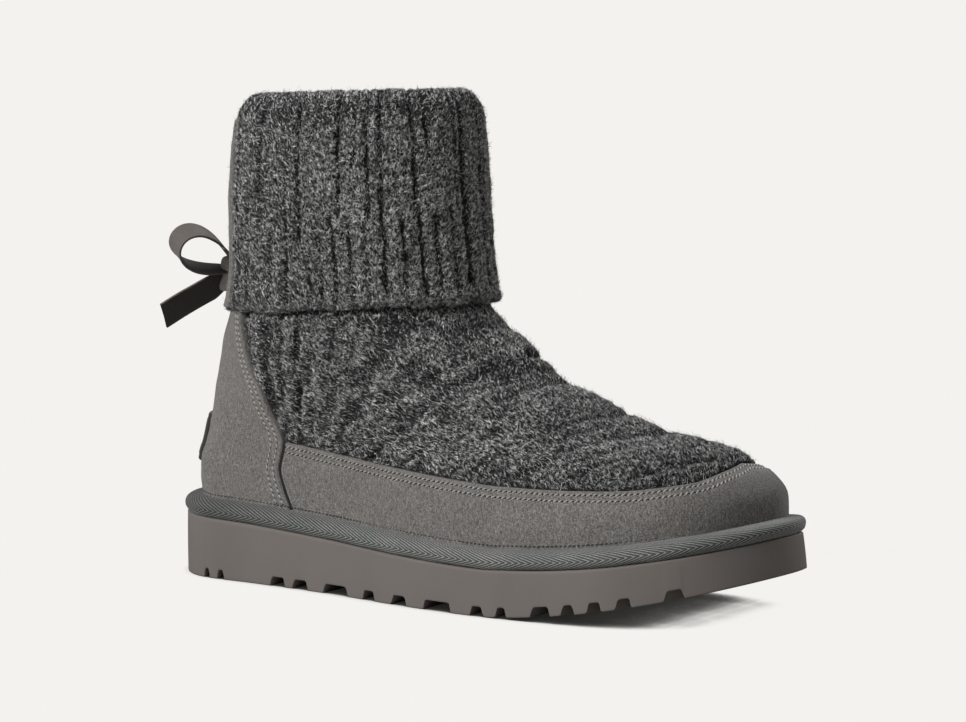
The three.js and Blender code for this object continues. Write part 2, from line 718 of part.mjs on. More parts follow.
function loopGeometry(side) {
  const out = mirrored(LOOP_DIRECTION, side);
  const axis = mirrored(LOOP_AXIS, side);
  const up = axis.clone().cross(out).multiplyScalar(side).normalize();
  const root = knotSide(side, LOOP_DROP, axis);
  const path = range(0, LOOP_STEPS).map((step) => {
    const t = step / LOOP_STEPS;
    const along = LOOP_LENGTH * Math.sin(Math.PI * t) ** 2;
    const bulge = (LOOP_OPENING / 2) * TEARDROP * Math.sin(2 * Math.PI * t) * Math.sin(Math.PI * t);
    const across = bulge + RIBBON_THICKNESS * (1 - 2 * t);
    return root.clone().addScaledVector(out, along).addScaledVector(up, across);
  });
  return ribbonGeometry(path, axis, (share) => pinch(Math.min(share, 1 - share)));
}

function tailGeometry(side) {
  const out = mirrored(TAIL_DIRECTION, side);
  const axis = mirrored(TAIL_AXIS, side);
  const root = knotSide(side, TAIL_DROP, axis);
  const path = range(0, TAIL_STEPS).map((step) => {
    const t = step / TAIL_STEPS;
    const sag = TAIL_SAG * (t * t - t);
    return root.clone().addScaledVector(out, TAIL_LENGTH * t).add(new THREE.Vector3(0, 0, -sag));
  });
  return ribbonGeometry(path, axis, pinch);
}

const group = new THREE.Group();
group.position.x = -HEEL_TO_ORIGIN;

function addPiece(name, geometry, color, roughness) {
  const material = new THREE.MeshStandardMaterial({ color, roughness, metalness: 0 });
  const mesh = new THREE.Mesh(geometry, material);
  mesh.name = name;
  group.add(mesh);
}

addPiece("outsole", outsoleGeometry(), 0x6f6862, 0.7);
addPiece("binding", bindingGeometry(), 0x5f6362, 0.85);
addPiece("insole", insoleGeometry(), 0x8b8680, 0.95);
addPiece("upper", upperGeometry(), 0x4a4a4b, 0.95);
addPiece("foxing", foxingGeometry(), 0x75716c, 0.9);
addPiece("heel_counter", counterGeometry(), 0x75716c, 0.9);
addPiece("heel_patch", patchGeometry(), 0x4b4846, 0.6);
addPiece("cuff", cuffGeometry(), 0x4a4a4b, 0.95);
addPiece("cuff_strap", strapGeometry(), 0x75716c, 0.9);
addPiece("bow_knot", knotGeometry(), 0x75716c, 0.8);
for (const [name, side] of [["lateral", -1], ["medial", 1]]) {
  addPiece("bow_loop_" + name, loopGeometry(side), 0x5d5854, 0.8);
  addPiece("bow_tail_" + name, tailGeometry(side), 0x33302f, 0.8);
}

export default group;
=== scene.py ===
"""Looks of the right sweater boot: knit with fibres, suede panels, woven edge tape, rubber sole and ribbon bow.

Sizes are millimetres in the foot frame of the part's source: x from the sole's back edge towards the toe,
y to the wearer's inner side, z up. metres() takes them to the scene.
"""

import math

import bpy
import numpy as np
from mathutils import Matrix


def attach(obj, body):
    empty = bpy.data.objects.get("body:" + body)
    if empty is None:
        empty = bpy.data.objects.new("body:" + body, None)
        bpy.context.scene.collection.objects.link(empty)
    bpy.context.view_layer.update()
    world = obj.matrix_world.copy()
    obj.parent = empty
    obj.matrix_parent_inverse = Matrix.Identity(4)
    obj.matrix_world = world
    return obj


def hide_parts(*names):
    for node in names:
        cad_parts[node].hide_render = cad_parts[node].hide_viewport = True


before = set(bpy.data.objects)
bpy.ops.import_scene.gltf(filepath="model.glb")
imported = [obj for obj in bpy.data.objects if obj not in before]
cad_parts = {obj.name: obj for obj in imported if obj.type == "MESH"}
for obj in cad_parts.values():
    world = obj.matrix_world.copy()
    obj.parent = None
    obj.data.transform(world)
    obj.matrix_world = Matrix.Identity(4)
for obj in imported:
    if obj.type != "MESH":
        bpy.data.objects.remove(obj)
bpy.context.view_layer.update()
rng = np.random.default_rng(20)

# Sizes shared with the part's source
SOLE_LENGTH = 276.5
BALL_WIDTH = 99.5
HEEL_TO_ORIGIN = 48.0
HEEL_THICKNESS = 25.6
BALL_THICKNESS = 18.3
TOE_THICKNESS = 14.5
TOE_SPRING = 17.8
TOE_RAKE = 1.8
TREAD_DEPTH = 3.8
CHANNEL_WIDTH = 5.0
BINDING_HEIGHT = 7.2
BINDING_OVERHANG = 1.1
BINDING_WIDTH = 13.0
INSOLE_THICKNESS = 11.0
UPPER_INSET = 6.5
UPPER_WALL = 3.0
INSTEP_RISE = 84.0
COLLAR_HEIGHT = 201.5
SHAFT_WIDTH = 78.0
SUEDE = 1.5
FOXING_HEIGHT = 23.3
HEM_SLOPE = 6.0
COLLAR_SLOPE = 2.5
CUFF_WALL = 3.2
CUFF_FOLD = 4.2
STRAP_DROP = 5.0
PATCH_WIDTH = 50.0
PATCH_HEIGHT = 22.0
PATCH_THICKNESS = 1.1
PATCH_RISE = 14.0
PATCH_CLEARANCE = 0.45
RIBBON_WIDTH = 14.0
RIBBON_THICKNESS = 1.4
LOOP_LENGTH = 27.5
LOOP_OPENING = 13.5
TAIL_LENGTH = 33.5
KNOT_HEIGHT = 15.0
KNOT_WIDTH = 12.0
KNOT_DEPTH = 7.0
BOW_RISE = 13.5
TAIL_SAG = 2.5
CLEARANCE = 0.3
TOE_SIDE = 0.125
SPRING_START = 0.624
SPRING_CURVE = 1.58
BALL_START = 0.67
RAKE_START = 0.7
CHANNEL_START = 0.19
CHANNEL_END = 0.9
CHANNEL_SIDE = 0.16
REAR_END = 0.3
FORE_START = 0.7
EGG = 0.12
LIFT_FADE = 0.83
LOOP_DROP = -0.25
TAIL_DROP = 0.16
ROOT_WIDTH = 0.5
PINCH_LENGTH = 0.3
TEARDROP = 1.3


def table(names, rows):
    """A table with named columns, one array a column."""
    return dict(zip(names.split(), np.array(rows, float).T))


SOLE_TABLE = table("along lateral medial", [
    (0.018, 0.187, 0.17), (0.08, 0.344, 0.31), (0.2, 0.375, 0.36), (0.345, 0.411, 0.345), (0.49, 0.48, 0.375),
    (0.617, 0.51, 0.44), (0.726, 0.498, 0.485), (0.835, 0.455, 0.487), (0.927, 0.318, 0.435), (0.982, 0.1, 0.325),
])
NOTCH_TABLE = table("along width", [
    (0.103, 0.012), (0.131, 0.013), (0.243, 0.028), (0.287, 0.028), (0.357, 0.047), (0.425, 0.024), (0.485, 0.027),
    (0.556, 0.049), (0.625, 0.021), (0.665, 0.016), (0.727, 0.028), (0.769, 0.018), (0.808, 0.02), (0.848, 0.02),
    (0.909, 0.022),
])
LEVEL_TABLE = table("instep shaft back front rear fore oval width", [
    (0, 0, 0, 0, 1, 1, 0, 0.95),
    (0.095, 0, -0.003, 0.002, 1.01, 1.015, 0, 0.95),
    (0.19, 0, -0.002, 0.018, 1.02, 1, 0.02, 0.95),
    (0.274, 0, 0.006, 0.042, 1.02, 0.975, 0.06, 0.95),
    (0.333, 0, 0.01, 0.057, 1.02, 0.945, 0.1, 0.95),
    (0.393, 0, 0.013, 0.089, 1.02, 0.925, 0.2, 0.96),
    (0.476, 0, 0.02, 0.181, 1.03, 0.89, 0.38, 0.98),
    (0.595, 0, 0.022, 0.26, 1.05, 0.86, 0.62, 1),
    (0.714, 0, 0.0275, 0.343, 1.05, 0.85, 0.8, 1),
    (0.833, 0, 0.033, 0.38, 1.05, 0.85, 0.92, 1),
    (1, 0, 0.051, 0.453, 1.05, 0.85, 1, 1),
    (1, 0.08, 0.057, 0.46, 1.05, 0.85, 1, 0.985),
    (1, 0.22, 0.0625, 0.469, 1.05, 0.85, 1, 0.97),
    (1, 0.55, 0.0645, 0.48, 1.05, 0.85, 1, 0.97),
    (1, 0.8, 0.071, 0.4855, 1.05, 0.85, 1, 0.96),
    (1, 1, 0.083, 0.493, 1.05, 0.85, 1, 0.92),
])
FOXING_TABLE = table("around height", [
    (0.158, 1.24), (0.196, 1.17), (0.2275, 1.115), (0.282, 1.03), (0.321, 0.98), (0.3606, 0.925), (0.397, 0.865),
    (0.432, 0.86), (0.47, 0.98), (0.5, 1.08),
])
COUNTER_TABLE = table("rise around", [
    (0, 0.161), (0.09, 0.155), (0.17, 0.158), (0.3, 0.158), (0.4, 0.146), (0.5, 0.133), (1, 0.118),
])
BINDING_PROFILE = table("out up", [
    (-0.6, 0), (0.6, 0.14), (1, 0.42), (0.5, 0.7), (-1.2, 0.88), (-3.4, 0.97), (-5.6, 1),
])
# Troughs of the vamp's knit: start is where one crosses z = 60, in mm from the heel.
TROUGH_TABLE = table("start depth width", [
    (47, 0.7, 1.6), (56, 0.9, 1.4), (63, 1.8, 1.4), (67, 1.2, 1.2), (74, 2.3, 1.5), (81, 0.6, 1.6), (88, 0.9, 1.7),
    (95, 1.5, 2.0), (103, 0.5, 1.8), (111, 0.6, 2.0), (119, 1.6, 2.4), (129, 0.6, 2.0), (139, 1.4, 2.3),
    (148, 0.5, 1.9), (157, 0.8, 2.0), (166, 0.5, 1.8), (175, 1.3, 2.2), (186, 0.7, 1.9), (199, 1.8, 2.4),
    (210, 0.7, 1.8), (221, 1.4, 2.0), (231, 0.7, 1.6), (241, 1.4, 1.7), (248, 1.6, 1.5),
])
# How far a trough runs towards the toe for each mm that it rises, and for each mm that it nears the ridge.
LEAN_TABLE = table("start lean skew", [
    (40, -0.45, 0), (60, -0.18, 0), (66, 0.05, 0), (74, 0.12, 0), (86, 0.2, 0), (96, 0.75, 0), (118, 1.2, 0),
    (140, 1.4, 0.05), (180, 1.5, 0.2), (215, 1.7, 0.35), (260, 1.7, 0.4),
])
# Grooves of the cuff: place is mm round from the back, low and high are percent of the way up from its hem.
GROOVE_TABLE = table("place low high depth", [
    (9, 0, 110, 0.9), (20, 0, 110, 1.0), (31, 0, 110, 1.1), (41, 3, 52, 1.0), (50, 40, 104, 1.7), (57, 0, 42, 0.9),
    (66, 1, 46, 1.7), (73, 33, 112, 1.8), (77, 0, 36, 0.8), (82, 1, 38, 1.3), (88, 1, 45, 1.4), (91, 44, 110, 1.7),
    (95, 0, 40, 1.3), (98, 66, 112, 0.9), (101, 0, 40, 0.9), (102.5, 42, 112, 1.5), (107.4, 4, 108, 1.9),
    (114.5, 6, 42, 1.6), (119.5, 44, 112, 1.8), (120.8, 3, 46, 1.7), (124.5, 72, 112, 1.1), (127, 5, 44, 1.6),
    (133.5, 5, 50, 1.3), (136.5, 56, 108, 1.0), (140, 8, 108, 1.7),
])


# Shared maths
def smooth(value):
    value = np.clip(value, 0, 1)
    return value * value * (3 - 2 * value)


def lerp(a, b, t):
    return a + (b - a) * t


def read(rows, key, column, place):
    """Value of a column where its key reaches place, on a smooth curve that never overshoots its rows."""
    keys, values = rows[key], rows[column]
    spans = np.diff(keys)
    slopes = np.diff(values) / spans
    before, after = slopes[:-1], slopes[1:]
    product = before * after
    middle = np.where(product <= 0, 0, 2 * product / np.where(product <= 0, 1, before + after))
    tangents = np.concatenate([slopes[:1], middle, slopes[-1:]])
    at = np.clip(place, keys[0], keys[-1])
    row = np.clip(np.searchsorted(keys, at, side="left") - 1, 0, len(spans) - 1)
    t = (at - keys[row]) / spans[row]
    rise = values[row + 1] - values[row]
    bend = (1 - t) * spans[row] * tangents[row] - t * spans[row] * tangents[row + 1] + (2 * t - 1) * rise
    return values[row] + t * rise + t * (1 - t) * bend


def unit(vectors):
    return vectors / np.maximum(np.linalg.norm(vectors, axis=-1, keepdims=True), 1e-12)


def lattice(seed, x, y):
    """A fixed random number from -1 to 1 at each whole place."""
    mixed = np.sin(x * 127.1 + y * 311.7 + seed * 74.7) * 43758.5453
    return 2 * (mixed - np.floor(mixed)) - 1


def noise(seed, x, y):
    """Smooth noise of about -1 to 1 over a plane, one lump to each unit."""
    x0, y0 = np.floor(x), np.floor(y)
    u, v = smooth(x - x0), smooth(y - y0)
    low = lerp(lattice(seed, x0, y0), lattice(seed, x0 + 1, y0), u)
    high = lerp(lattice(seed, x0, y0 + 1), lattice(seed, x0 + 1, y0 + 1), u)
    return lerp(low, high, v)


# Sole heights and outline
def spring_at(x):
    share = np.maximum(0, (x / SOLE_LENGTH - SPRING_START) / (1 - SPRING_START))
    return TOE_SPRING * share ** SPRING_CURVE


def thickness_at(x):
    share = x / SOLE_LENGTH
    to_toe = np.maximum(0, (share - BALL_START) / (1 - BALL_START))
    base = lerp(HEEL_THICKNESS, BALL_THICKNESS, smooth(share / BALL_START))
    return base + (TOE_THICKNESS - BALL_THICKNESS) * to_toe


def sole_top_at(x):
    return spring_at(x) + thickness_at(x)


def platform_top_at(x):
    return sole_top_at(x) + CLEARANCE + BINDING_HEIGHT


def feather_at(x):
    return platform_top_at(x) + CLEARANCE


def rake_at(x):
    return TOE_RAKE * smooth((x / SOLE_LENGTH - RAKE_START) / (1 - RAKE_START))


def closed_curve(points, steps):
    """Centripetal curve through points, back to the first."""
    count = len(points)
    result = []
    for i in range(steps):
        t = count * i / steps
        k = int(t)
        w = t - k
        p = [points[(k + j - 1) % count] for j in range(4)]
        d = [max(np.linalg.norm(p[j + 1] - p[j]) ** 0.5, 1e-4) for j in range(3)]
        start = ((p[1] - p[0]) / d[0] - (p[2] - p[0]) / (d[0] + d[1]) + (p[2] - p[1]) / d[1]) * d[1]
        end = ((p[2] - p[1]) / d[1] - (p[3] - p[1]) / (d[1] + d[2]) + (p[3] - p[2]) / d[2]) * d[1]
        rise = p[2] - p[1]
        cubic = 2 * p[1] - 2 * p[2] + start + end
        square = 3 * rise - 2 * start - end
        result.append(p[1] + start * w + square * w * w + cubic * w ** 3)
    return np.array(result)


def make_outline(steps=1920):
    along = SOLE_TABLE["along"] * SOLE_LENGTH
    lateral = np.column_stack([along, -SOLE_TABLE["lateral"] * BALL_WIDTH])
    medial = np.column_stack([along, SOLE_TABLE["medial"] * BALL_WIDTH])[::-1]
    toe = np.array([[SOLE_LENGTH, TOE_SIDE * BALL_WIDTH]])
    points = closed_curve(np.vstack([[[0, 0]], lateral, toe, medial]), steps)
    points[:, 0] -= rake_at(points[:, 0])
    return points


outline = make_outline()


def inset_loop(inset):
    """The outline moved inwards: its two ends and each side's y at a share of its length."""
    along = unit(np.roll(outline, -1, 0) - np.roll(outline, 1, 0))
    moved = outline + np.column_stack([-along[:, 1], along[:, 0]]) * inset
    heel, toe = int(moved[:, 0].argmin()), int(moved[:, 0].argmax())
    turned = np.roll(moved, -heel, 0)
    split = (toe - heel) % len(moved)
    lateral = turned[: split + 1]
    medial = np.vstack([turned[split:], turned[:1]])[::-1]
    back, front = moved[heel, 0], moved[toe, 0]

    def side(is_lateral, share):
        x = back + (front - back) * share
        near = np.interp(x, np.maximum.accumulate(lateral[:, 0]), lateral[:, 1])
        far = np.interp(x, np.maximum.accumulate(medial[:, 0]), medial[:, 1])
        return np.where(is_lateral, near, far)

    return back, front, side


def length_share(around):
    return (1 - np.cos(2 * np.pi * around)) / 2


def loop_xy(inset, around):
    back, front, side = inset_loop(inset)
    share = length_share(around)
    return np.column_stack([back + (front - back) * share, side(around < 0.5, share)])


# Surface of the upper
foot_back, foot_front, foot_side = inset_loop(UPPER_INSET + SUEDE + CLEARANCE)
base_height = float(feather_at(BALL_START * SOLE_LENGTH))
upper_rise = COLLAR_HEIGHT - CUFF_FOLD - CLEARANCE - base_height
levels = dict(LEVEL_TABLE)
levels["rise"] = LEVEL_TABLE["instep"] * INSTEP_RISE + LEVEL_TABLE["shaft"] * (upper_rise - INSTEP_RISE)


def surface(around, rise):
    around = np.mod(around, 1.0)
    share = length_share(around)
    row = {name: read(levels, "rise", name, rise) for name in ("back", "front", "rear", "fore", "oval", "width")}
    back = foot_back + row["back"] * SOLE_LENGTH
    front = foot_front - row["front"] * SOLE_LENGTH
    x = back + (front - back) * share
    scale = lerp(row["rear"], row["fore"], smooth((share - REAR_END) / (FORE_START - REAR_END)))
    side = foot_side(around < 0.5, share) * scale
    angle = 2 * np.pi * around
    shaft = -(row["width"] * SHAFT_WIDTH / 2) * np.sin(angle) * (1 - EGG * np.cos(angle))
    y = lerp(side, shaft, row["oval"])
    lift = (feather_at(x) - base_height) * (1 - smooth(rise / (LIFT_FADE * INSTEP_RISE)))
    return np.stack([x, y, base_height + rise + lift], -1)


def surface_normal(around, rise, flat=False, reach=0.004, step=0.8):
    low, high = np.maximum(0, rise - step), np.minimum(upper_rise, rise + step)
    across = surface(around + reach, rise) - surface(around - reach, rise)
    upward = surface(around, high) - surface(around, low)
    normal = unit(np.cross(across, upward))
    if flat:
        normal = unit(normal * np.array([1, 1, 0]))
    return normal


def suede_edge(around):
    return FOXING_HEIGHT * read(FOXING_TABLE, "around", "height", np.minimum(around % 1, 1 - around % 1))


def hem_rise(around):
    return INSTEP_RISE + HEM_SLOPE * length_share(around)


def collar_rise(around):
    return upper_rise - COLLAR_SLOPE * (1 - length_share(around))


def counter_edge(rise):
    return read(COUNTER_TABLE, "rise", "around", rise / upper_rise)


# Meshes
def metres(points):
    return (np.asarray(points, float) - np.array([HEEL_TO_ORIGIN, 0, 0])) * 0.001


def build(name, points, faces, material, node=None, uv=None):
    """One piece of the model from points in millimetres. faces are triangles or quads, uv is one pair a point."""
    mesh = bpy.data.meshes.new(name)
    points = metres(points)
    faces = np.asarray(faces, np.int32)
    corners = faces.shape[1]
    mesh.vertices.add(len(points))
    mesh.vertices.foreach_set("co", points.astype(np.float32).ravel())
    mesh.loops.add(faces.size)
    mesh.loops.foreach_set("vertex_index", faces.ravel())
    mesh.polygons.add(len(faces))
    mesh.polygons.foreach_set("loop_start", np.arange(len(faces), dtype=np.int32) * corners)
    mesh.polygons.foreach_set("loop_total", np.full(len(faces), corners, np.int32))
    mesh.update(calc_edges=True)
    if uv is not None:
        layer = mesh.uv_layers.new(name="flat")
        layer.data.foreach_set("uv", np.asarray(uv, np.float32)[faces.ravel()].ravel())
    mesh.polygons.foreach_set("use_smooth", np.full(len(faces), True))
    mesh.materials.append(material)
    mesh.validate()
    piece = bpy.data.objects.new(name, mesh)
    bpy.context.scene.collection.objects.link(piece)
    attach(piece, "root")
    if node:
        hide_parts(node)


def grid_faces(rows, columns, closed=False):
    """Quads of a grid whose rows run upwards and whose columns run the way that faces them out."""
    last = columns if closed else columns - 1
    i, j = np.meshgrid(np.arange(rows - 1), np.arange(last), indexing="ij")
    k, low, high = (j + 1) % columns, i * columns, (i + 1) * columns
    return np.stack([low + j, low + k, high + k, high + j], -1).reshape(-1, 4)


def build_grid(name, rings, material, node=None, flats=None, closed=False, turned=False):
    """One piece from rows of points, with flat coordinates for each point. turned faces it the other way."""
    grid = np.stack(rings)
    faces = grid_faces(*grid.shape[:2], closed)
    uv = None if flats is None else np.vstack(flats)
    build(name, grid.reshape(-1, 3), faces[:, ::-1] if turned else faces, material, node, uv)


# Materials, in linear light and metres
def set_input(tree, socket, value):
    if isinstance(value, bpy.types.NodeSocket):
        tree.links.new(value, socket)
    else:
        socket.default_value = (*value, 1) if socket.type == "RGBA" else value


def add_node(tree, kind, inputs=None, **settings):
    """A new node. Each input is a number, a colour, a vector or another node's output."""
    node = tree.nodes.new("ShaderNode" + kind)
    for name, value in settings.items():
        setattr(node, name, value)
    for key, value in (inputs or {}).items():
        set_input(tree, node.inputs[key], value)
    return node


def add_ramp(tree, value, stops):
    """Colour ramp over (place, colour) stops."""
    ramp = add_node(tree, "ValToRGB", {"Fac": value})
    elements = ramp.color_ramp.elements
    while len(elements) < len(stops):
        elements.new(0.5)
    for element, (place, colour) in zip(elements, stops):
        element.position = place
        element.color = (*colour, 1)
    return ramp.outputs["Color"]


def grey(level):
    return level, level, level


def times(tone, factor):
    return tuple(np.array(tone) * factor)


class Look:
    """A material that is put together from nodes."""

    def __init__(self, name, rough, sheen, specular):
        self.material = bpy.data.materials.new(name)
        self.material.use_nodes = True
        self.tree = self.material.node_tree
        self.shader = self.tree.nodes["Principled BSDF"]
        self.set("Roughness", rough)
        self.set("Sheen Weight", sheen)
        self.set("Sheen Roughness", 0.5)
        self.set("Specular IOR Level", specular)

    def set(self, name, value):
        set_input(self.tree, self.shader.inputs[name], value)

    def place(self):
        return add_node(self.tree, "TexCoord").outputs["Object"]

    def flat(self):
        """Both flat coordinates of a woven piece in millimetres."""
        uv = add_node(self.tree, "UVMap", uv_map="flat").outputs["UV"]
        split = add_node(self.tree, "SeparateXYZ", {0: uv})
        return (self.maths("MULTIPLY", split.outputs[axis], FLAT_UNIT) for axis in "XY")

    def noise(self, scale, rough, detail=3, squeeze=None):
        where = self.place()
        if squeeze:
            where = add_node(self.tree, "Mapping", {"Vector": where, "Scale": squeeze}).outputs["Vector"]
        inputs = {"Vector": where, "Scale": scale, "Detail": detail, "Roughness": rough}
        return add_node(self.tree, "TexNoise", inputs).outputs["Fac"]

    def ramp(self, value, *stops):
        return add_ramp(self.tree, value, stops)

    def mix(self, factor, a, b, blend="MIX"):
        inputs = {0: factor, 6: a, 7: b}
        return add_node(self.tree, "Mix", inputs, data_type="RGBA", blend_type=blend).outputs[2]

    def multiply(self, factor, a, b):
        return self.mix(factor, a, b, "MULTIPLY")

    def maths(self, operation, *values, clamp=False):
        inputs = dict(enumerate(values))
        return add_node(self.tree, "Math", inputs, operation=operation, use_clamp=clamp).outputs[0]

    def wave(self, along, pitch):
        """From 0 to 1 and back for each pitch."""
        turned = self.maths("MULTIPLY", along, 2 * math.pi / pitch)
        return self.maths("MULTIPLY_ADD", self.maths("SINE", turned), 0.5, 0.5)

    def bump(self, height, distance, strength, below=None):
        inputs = {"Height": height, "Distance": distance, "Strength": strength}
        if below is not None:
            inputs["Normal"] = below
        return add_node(self.tree, "Bump", inputs).outputs["Normal"]

    def paint_shade(self, colour, start, end, low, high):
        """Painted shade along the boot: the colour times low where x is at the start and times high where it is at
        the end.
        """
        x = add_node(self.tree, "SeparateXYZ", {0: self.place()}).outputs["X"]
        share = self.maths("DIVIDE", self.maths("SUBTRACT", x, start), end - start, clamp=True)
        return self.multiply(1.0, colour, self.ramp(share, (0.0, grey(low)), (1.0, grey(high))))

    def done(self, colour, normal=None):
        self.set("Base Color", colour)
        if normal is not None:
            self.set("Normal", normal)
        return self.material


# Millimetres in one unit of a woven piece's flat coordinates
FLAT_UNIT = 100


def suede_material(name, tone, nap):
    """Napped leather: slow clouds, short brushed streaks and a fine grain, with painted shade darkening the toe's
    tip.
    """
    look = Look(name, rough=0.95, sheen=0.25, specular=0.25)
    clouds = look.noise(45, 0.5)
    streaks = look.noise(1500, 0.65, squeeze=(1.0, 1.0, 0.33))
    grain = look.noise(1700, 0.7)
    cool, warm = times(tone, (0.9, 0.93, 0.95)), times(tone, (1.12, 1.07, 1.05))
    base = look.ramp(clouds, (0.34, cool), (0.66, warm))
    brushed = look.ramp(streaks, (0.32, times(tone, 0.52)), (0.68, times(tone, 1.48)))
    specks = look.ramp(grain, (0.34, grey(0.3)), (0.5, grey(1)), (0.64, (1.7, 1.68, 1.64)))
    colour = look.multiply(0.6 * nap, look.mix(0.5 * nap, base, brushed), specks)
    soft = look.bump(streaks, 0.00025, 0.7 * nap)
    return look.done(look.paint_shade(colour, 0.186, 0.216, 1.0, 0.74), look.bump(grain, 0.00012, 0.8 * nap, soft))


def knit_material(name, dark, light):
    """Ground of the knit: melange yarn in charcoal and grey."""
    look = Look(name, rough=1.0, sheen=0.2, specular=0.15)
    yarn = look.noise(2100, 0.7, squeeze=(1.0, 1.0, 0.5))
    between = tuple((a + b) / 2.6 for a, b in zip(dark, light))
    colour = look.ramp(yarn, (0.36, dark), (0.52, between), (0.68, light))
    shade = look.ramp(look.noise(160, 0.6), (0.3, grey(0.62)), (0.7, grey(1.25)))
    return look.done(look.multiply(0.8, colour, shade), look.bump(yarn, 0.0006, 1.0))


def fibre_material(name, tone):
    """Hairs in lighter and darker clumps, with painted shade darkening them towards the toe."""
    look = Look(name, rough=0.9, sheen=0.0, specular=0.25)
    colour = look.ramp(look.noise(620, 0.6, 2), (0.36, times(tone, 0.26)), (0.64, times(tone, 1.6)))
    return look.done(look.paint_shade(colour, 0.1, 0.18, 1.0, 0.7))


def rubber_material():
    look = Look("sole rubber", rough=0.62, sheen=0.0, specular=0.35)
    colour = look.ramp(look.noise(30, 0.5), (0.3, (0.167, 0.147, 0.136)), (0.7, (0.185, 0.166, 0.153)))
    grain = look.noise(1400, 0.5, 2)
    look.set("Roughness", look.maths("MULTIPLY_ADD", grain, 0.16, 0.54))
    return look.done(colour, look.bump(grain, 0.00006, 0.5))


# Twill of the edge tape, in mm: its repeat, its slope and the line along which its lines turn
TAPE_PITCH = 2.9
TAPE_SLANT = 2.8
TAPE_SPINE = 9.3


def tape_material():
    """Twill lines in two sizes that turn at the spine, in speckled yarn, with painted shade darkening it towards the
    heel.
    """
    look = Look("edge tape", rough=0.85, sheen=0.2, specular=0.3)
    along, across = look.flat()
    along = look.maths("ADD", along, look.maths("MULTIPLY", look.noise(300, 0.5, 2), 0.7))
    off = look.maths("ABSOLUTE", look.maths("SUBTRACT", across, TAPE_SPINE))
    slanted = look.maths("ADD", along, look.maths("MULTIPLY", off, TAPE_SLANT))
    broad = look.maths("MULTIPLY", look.wave(slanted, TAPE_PITCH), 0.55)
    fine = look.maths("MULTIPLY", look.wave(slanted, TAPE_PITCH / 2), 0.45)
    lines = look.maths("ADD", broad, fine)
    yarn = look.noise(1800, 0.6, 2)
    dark, middle, light = (0.02, 0.023, 0.023), (0.12, 0.124, 0.122), (0.36, 0.364, 0.352)
    colour = look.ramp(lines, (0.26, dark), (0.5, middle), (0.74, light))
    colour = look.multiply(0.45, colour, look.ramp(yarn, (0.32, grey(0.35)), (0.68, grey(1.6))))
    clouds = look.ramp(look.noise(60, 0.5), (0.35, (0.75, 0.82, 0.82)), (0.65, (1.15, 1.1, 1.06)))
    colour = look.paint_shade(look.multiply(0.5, colour, clouds), -0.046, 0.07, 0.42, 1.0)
    return look.done(colour, look.bump(yarn, 0.0002, 0.7))


def thread_material(name, tone):
    look = Look(name, rough=0.7, sheen=0.0, specular=0.4)
    twist = look.noise(1500, 0.5, 2)
    colour = look.ramp(twist, (0.3, times(tone, 0.7)), (0.7, times(tone, 1.2)))
    return look.done(colour, look.bump(twist, 0.0001, 0.6))


def plush_material(name, tone):
    look = Look(name, rough=1.0, sheen=0.35, specular=0.15)
    curls = look.noise(380, 0.65, 4)
    colour = look.ramp(curls, (0.3, times(tone, 0.55)), (0.7, times(tone, 1.25)))
    return look.done(colour, look.bump(curls, 0.0018, 1.0))


def ribbon_material(name, tone):
    """Fine cross ribs of a woven ribbon, from its own flat coordinates."""
    look = Look(name, rough=0.75, sheen=0.15, specular=0.3)
    along, _ = look.flat()
    ribs = look.wave(along, 0.55)
    colour = look.ramp(look.noise(1200, 0.6), (0.3, times(tone, 0.8)), (0.7, times(tone, 1.18)))
    ribbed = look.ramp(ribs, (0.0, grey(0.82)), (1.0, grey(1.08)))
    return look.done(look.multiply(0.7, colour, ribbed), look.bump(ribs, 0.00008, 0.6))


SUEDE_TONE = (0.18, 0.172, 0.163)
suede = suede_material("suede", SUEDE_TONE, 1.35)
suede_heel = suede_material("suede of the heel", SUEDE_TONE, 1.2)
patch_finish = suede_material("bare patch", (0.05, 0.047, 0.045), 0.4)
# Near-black suede that paints the shade in the gap between the band and the heel panel and in the stitch holes
painted_shade_suede = suede_material("painted shade suede", (0.011, 0.0105, 0.01), 1.0)
knit = knit_material("knit ground", (0.006, 0.006, 0.0065), (0.08, 0.08, 0.081))
fibre_dark = fibre_material("dark fibres", (0.011, 0.011, 0.0115))
fibre_mid = fibre_material("grey fibres", (0.054, 0.054, 0.0545))
fibre_light = fibre_material("light fibres", (0.68, 0.68, 0.673))
fibre_fuzz = fibre_material("standing fuzz", grey(0.22))
rubber = rubber_material()
tape = tape_material()
thread = thread_material("light thread", (0.47, 0.455, 0.43))
# Near-black welt thread: real stitches whose dark tone also paints the shade along the joint between band and
# binding
thread_welt = thread_material("welt thread", (0.055, 0.053, 0.051))
thread_dark = thread_material("grey thread", (0.15, 0.142, 0.134))
plush = plush_material("plush lining", (0.24, 0.235, 0.23))
ribbon_light = ribbon_material("ribbon face", (0.142, 0.126, 0.113))
ribbon_dark = ribbon_material("ribbon back", (0.062, 0.055, 0.052))
# The knot's ribbon is far paler than the loops and tails: painted light that makes up for the shade the loops cast
# on the knot
knot_ribbon_painted_light = ribbon_material("knot ribbon with painted light", (0.5, 0.475, 0.45))


